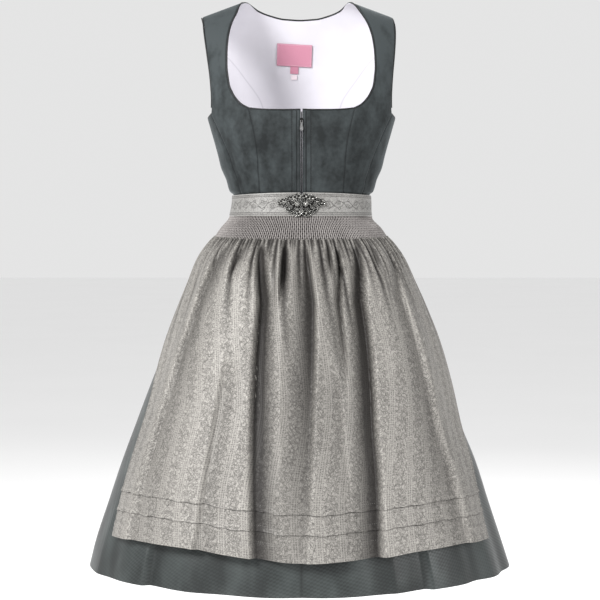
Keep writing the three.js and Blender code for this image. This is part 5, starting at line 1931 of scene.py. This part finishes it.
@dataclass
class Sewing:
    """Stitches on the placket, the apron and the label, each modelled once and repeated."""

    stitch: Row = (1.05, 0.34, 0.26)
    pitch: float = 2.9
    placket: Rows = ((-16.5, -0.40), (-6.0, 0.95), (6.0, 0.95), (16.5, -0.40))
    placket_heights: Row = (-327.0, -191.0)
    apron_lines: Row = (0.836, 0.898, 0.948)
    apron_pitch: float = 1.35
    label: Row = (-12.0, -77.0, 64.0, 40.0, -3.0, 5.6)
    label_margin: float = 1.6
    label_pitch: float = 2.4
    tab: Row = (-13.0, -117.0, 11.0, 9.0, 4.2)
    tab_wall: float = 0.8

    def on_torso(self, x: float, z: float, raised: float, down: Row = (0.0, -1.0),
                 back: bool = False) -> np.ndarray:
        """The frame of a stitch on the bodice.

        Args:
            x: Its distance from the middle.
            z: Its height.
            raised: How far it stands off the shell's surface.
            down: The way it runs, across and up.
            back: Whether it is behind.

        Returns:
            Its frame.
        """
        place, after = TORSO.spot(x, z, back), TORSO.spot(x + down[0], z + down[1], back)
        point, ahead = TORSO.cloth(place, -raised), TORSO.cloth(after, -raised)
        return frame_at(point, ahead - point, TORSO.outward(*place))

    def placket_stitches(self) -> list[np.ndarray]:
        """Frames along the placket's four seams."""
        low, high = self.placket_heights
        heights = np.arange(low, high, self.pitch)
        return [self.on_torso(x, z, raised) for x, raised in self.placket for z in heights]

    def apron_stitches(self, apron: Apron) -> list[np.ndarray]:
        """Frames along the apron's tucks and hem."""
        made = []
        for share in self.apron_lines:
            fine_u = np.linspace(0.004, 0.996, 900)
            points = apron.outer(fine_u[None, :], np.array([[share]]))[0][0]
            run = lengths(points, 0)
            u = np.interp(np.arange(2, run[-1], self.apron_pitch * self.pitch), run, fine_u)
            place, _ = apron.outer(u[None, :], np.array([[share]]))
            beside, _ = apron.outer(u[None, :] + 0.0015, np.array([[share]]))
            below, _ = apron.outer(u[None, :], np.array([[share + 0.002]]))
            for point, near, low in zip(place[0], beside[0], below[0]):
                out = np.cross(near - point, point - low)
                made.append(frame_at(point, near - point, out / np.linalg.norm(out)))
        return made

    def label_stitches(self) -> list[np.ndarray]:
        """Frames round the label's edge, on the side that faces the front."""
        x0, z0, wide, high, tilt, depth = self.label
        w, h = wide / 2 - self.label_margin, high / 2 - self.label_margin
        corners = np.array([(-w, -h), (w, -h), (w, h), (-w, h), (-w, -h)])
        run = lengths(corners, 0)
        cosine, sine = math.cos(tilt * DEG), math.sin(tilt * DEG)

        def edge(at: float) -> Places:
            """The spot at a length along the tilted edge."""
            x, z = (np.interp(at, run, corners[:, axis]) for axis in range(2))
            return np.array([x0 + x * cosine - z * sine, z0 + x * sine + z * cosine])

        return [self.on_torso(*edge(at), -depth, edge(at + 0.5) - edge(at), True)
                for at in np.arange(1.0, run[-1], self.label_pitch)]

    def build(self, apron: Apron, dark: bpy.types.Material, pale: bpy.types.Material,
              rose: bpy.types.Material, white: bpy.types.Material) -> None:
        """Builds the stitches and the small white tab under the label."""
        x, z, wide, high, depth = self.tab
        tab = modelled_block((wide, high, self.tab_wall), 0.15)
        dress(copies("white_tab", tab, [self.on_torso(x, z, -depth, (1.0, 0.05), True)]), white, "label")
        for name, frames, material, slot in (
            ("placket_stitches", self.placket_stitches(), dark, "velvet"),
            ("apron_stitches", self.apron_stitches(apron), pale, "apron"),
            ("label_stitches", self.label_stitches(), rose, "label"),
        ):
            dress(copies(name, modelled_bead(6, 4, self.stitch), frames), material, slot)


@dataclass
class Zip:
    """The zip's teeth between the front edges, and the fittings that stay as solids."""

    tooth: Row = (1.3, 0.8, 0.7)
    pitch: float = 1.4
    heights: Row = (-352.0, -212.0)
    offset: float = 0.42
    sunk: float = 0.15
    soft_edge: float = 0.25
    nodes: dict = field(default_factory=dict)

    def build(self, teeth: bpy.types.Material) -> None:
        """Builds the teeth."""
        frames = []
        for number, z in enumerate(np.arange(*self.heights, self.pitch)):
            side = 1 if number % 2 else -1
            place = TORSO.spot(side * self.offset, z)
            point = TORSO.cloth(place, self.sunk)
            frames.append(frame_at(point, np.array([1.0, 0, 0]), TORSO.outward(*place)))
        dress(copies("zip_teeth", modelled_block(self.tooth, 0.15), frames), teeth, "zip_metal")

    def finish_nodes(self, finishes: dict[str, bpy.types.Material]) -> None:
        """Gives each solid that stays its material and, where it is metal, soft edges."""
        for name, material in finishes.items():
            node = self.nodes[name]
            node.data.materials.clear()
            node.data.materials.append(material)
            if name in ("zip_slider", "zip_pull"):
                bevel = node.modifiers.new("soft edges", "BEVEL")
                bevel.width = self.soft_edge * MM
                bevel.segments = 2


def main() -> None:
    """Builds the dress piece by piece."""
    logging.basicConfig(level=logging.INFO, format="%(message)s")
    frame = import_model()
    Studio().build()
    velvet, lining = Velvet().material(), Lining().material()
    coarse = Bodice().build(velvet, lining)
    Piping().build(coarse, Cord().material())
    Skirt().build(Satin().material())
    Smocking().build(Smocked().material())
    apron = Apron()
    apron.build(Jacquard().material())
    Waistband().build(Ribbon().material())
    Clasp().build(Metal("antique_silver", (0.07, 0.07, 0.068), (0.66, 0.65, 0.62), 0.28, 3.0).material(),
                  Metal("blackened", (0.004, 0.004, 0.004), (0.03, 0.03, 0.028), 0.5).material())
    pink = Woven("pink_label", (0.40, 0.155, 0.22), (0.50, 0.21, 0.29)).material()
    tape = Woven("dark_tape", (0.004, 0.005, 0.005), (0.012, 0.014, 0.015)).material()
    Sewing().build(
        apron, Woven("dark_thread", (0.006, 0.007, 0.008), (0.016, 0.018, 0.02)).material(),
        Woven("pale_thread", (0.07, 0.066, 0.06), (0.13, 0.125, 0.115)).material(),
        Woven("pink_thread", (0.55, 0.36, 0.42), (0.66, 0.46, 0.52)).material(),
        Woven("white_tape", (0.60, 0.50, 0.54), (0.72, 0.62, 0.66)).material())
    fittings = Zip(nodes=frame["nodes"])
    fittings.build(Metal("zip_teeth", (0.008, 0.008, 0.009), (0.035, 0.035, 0.036)).material())
    fittings.finish_nodes({
        "zip_slider": Metal("dark_metal", (0.006, 0.006, 0.006), (0.035, 0.035, 0.035)).material(),
        "zip_pull": Metal("zip_silver", (0.2, 0.2, 0.2), (0.5, 0.5, 0.5), 0.2).material(),
        "zip_chain": tape, "label": pink, "label_tab": pink})


if __name__ == "__main__":
    main()
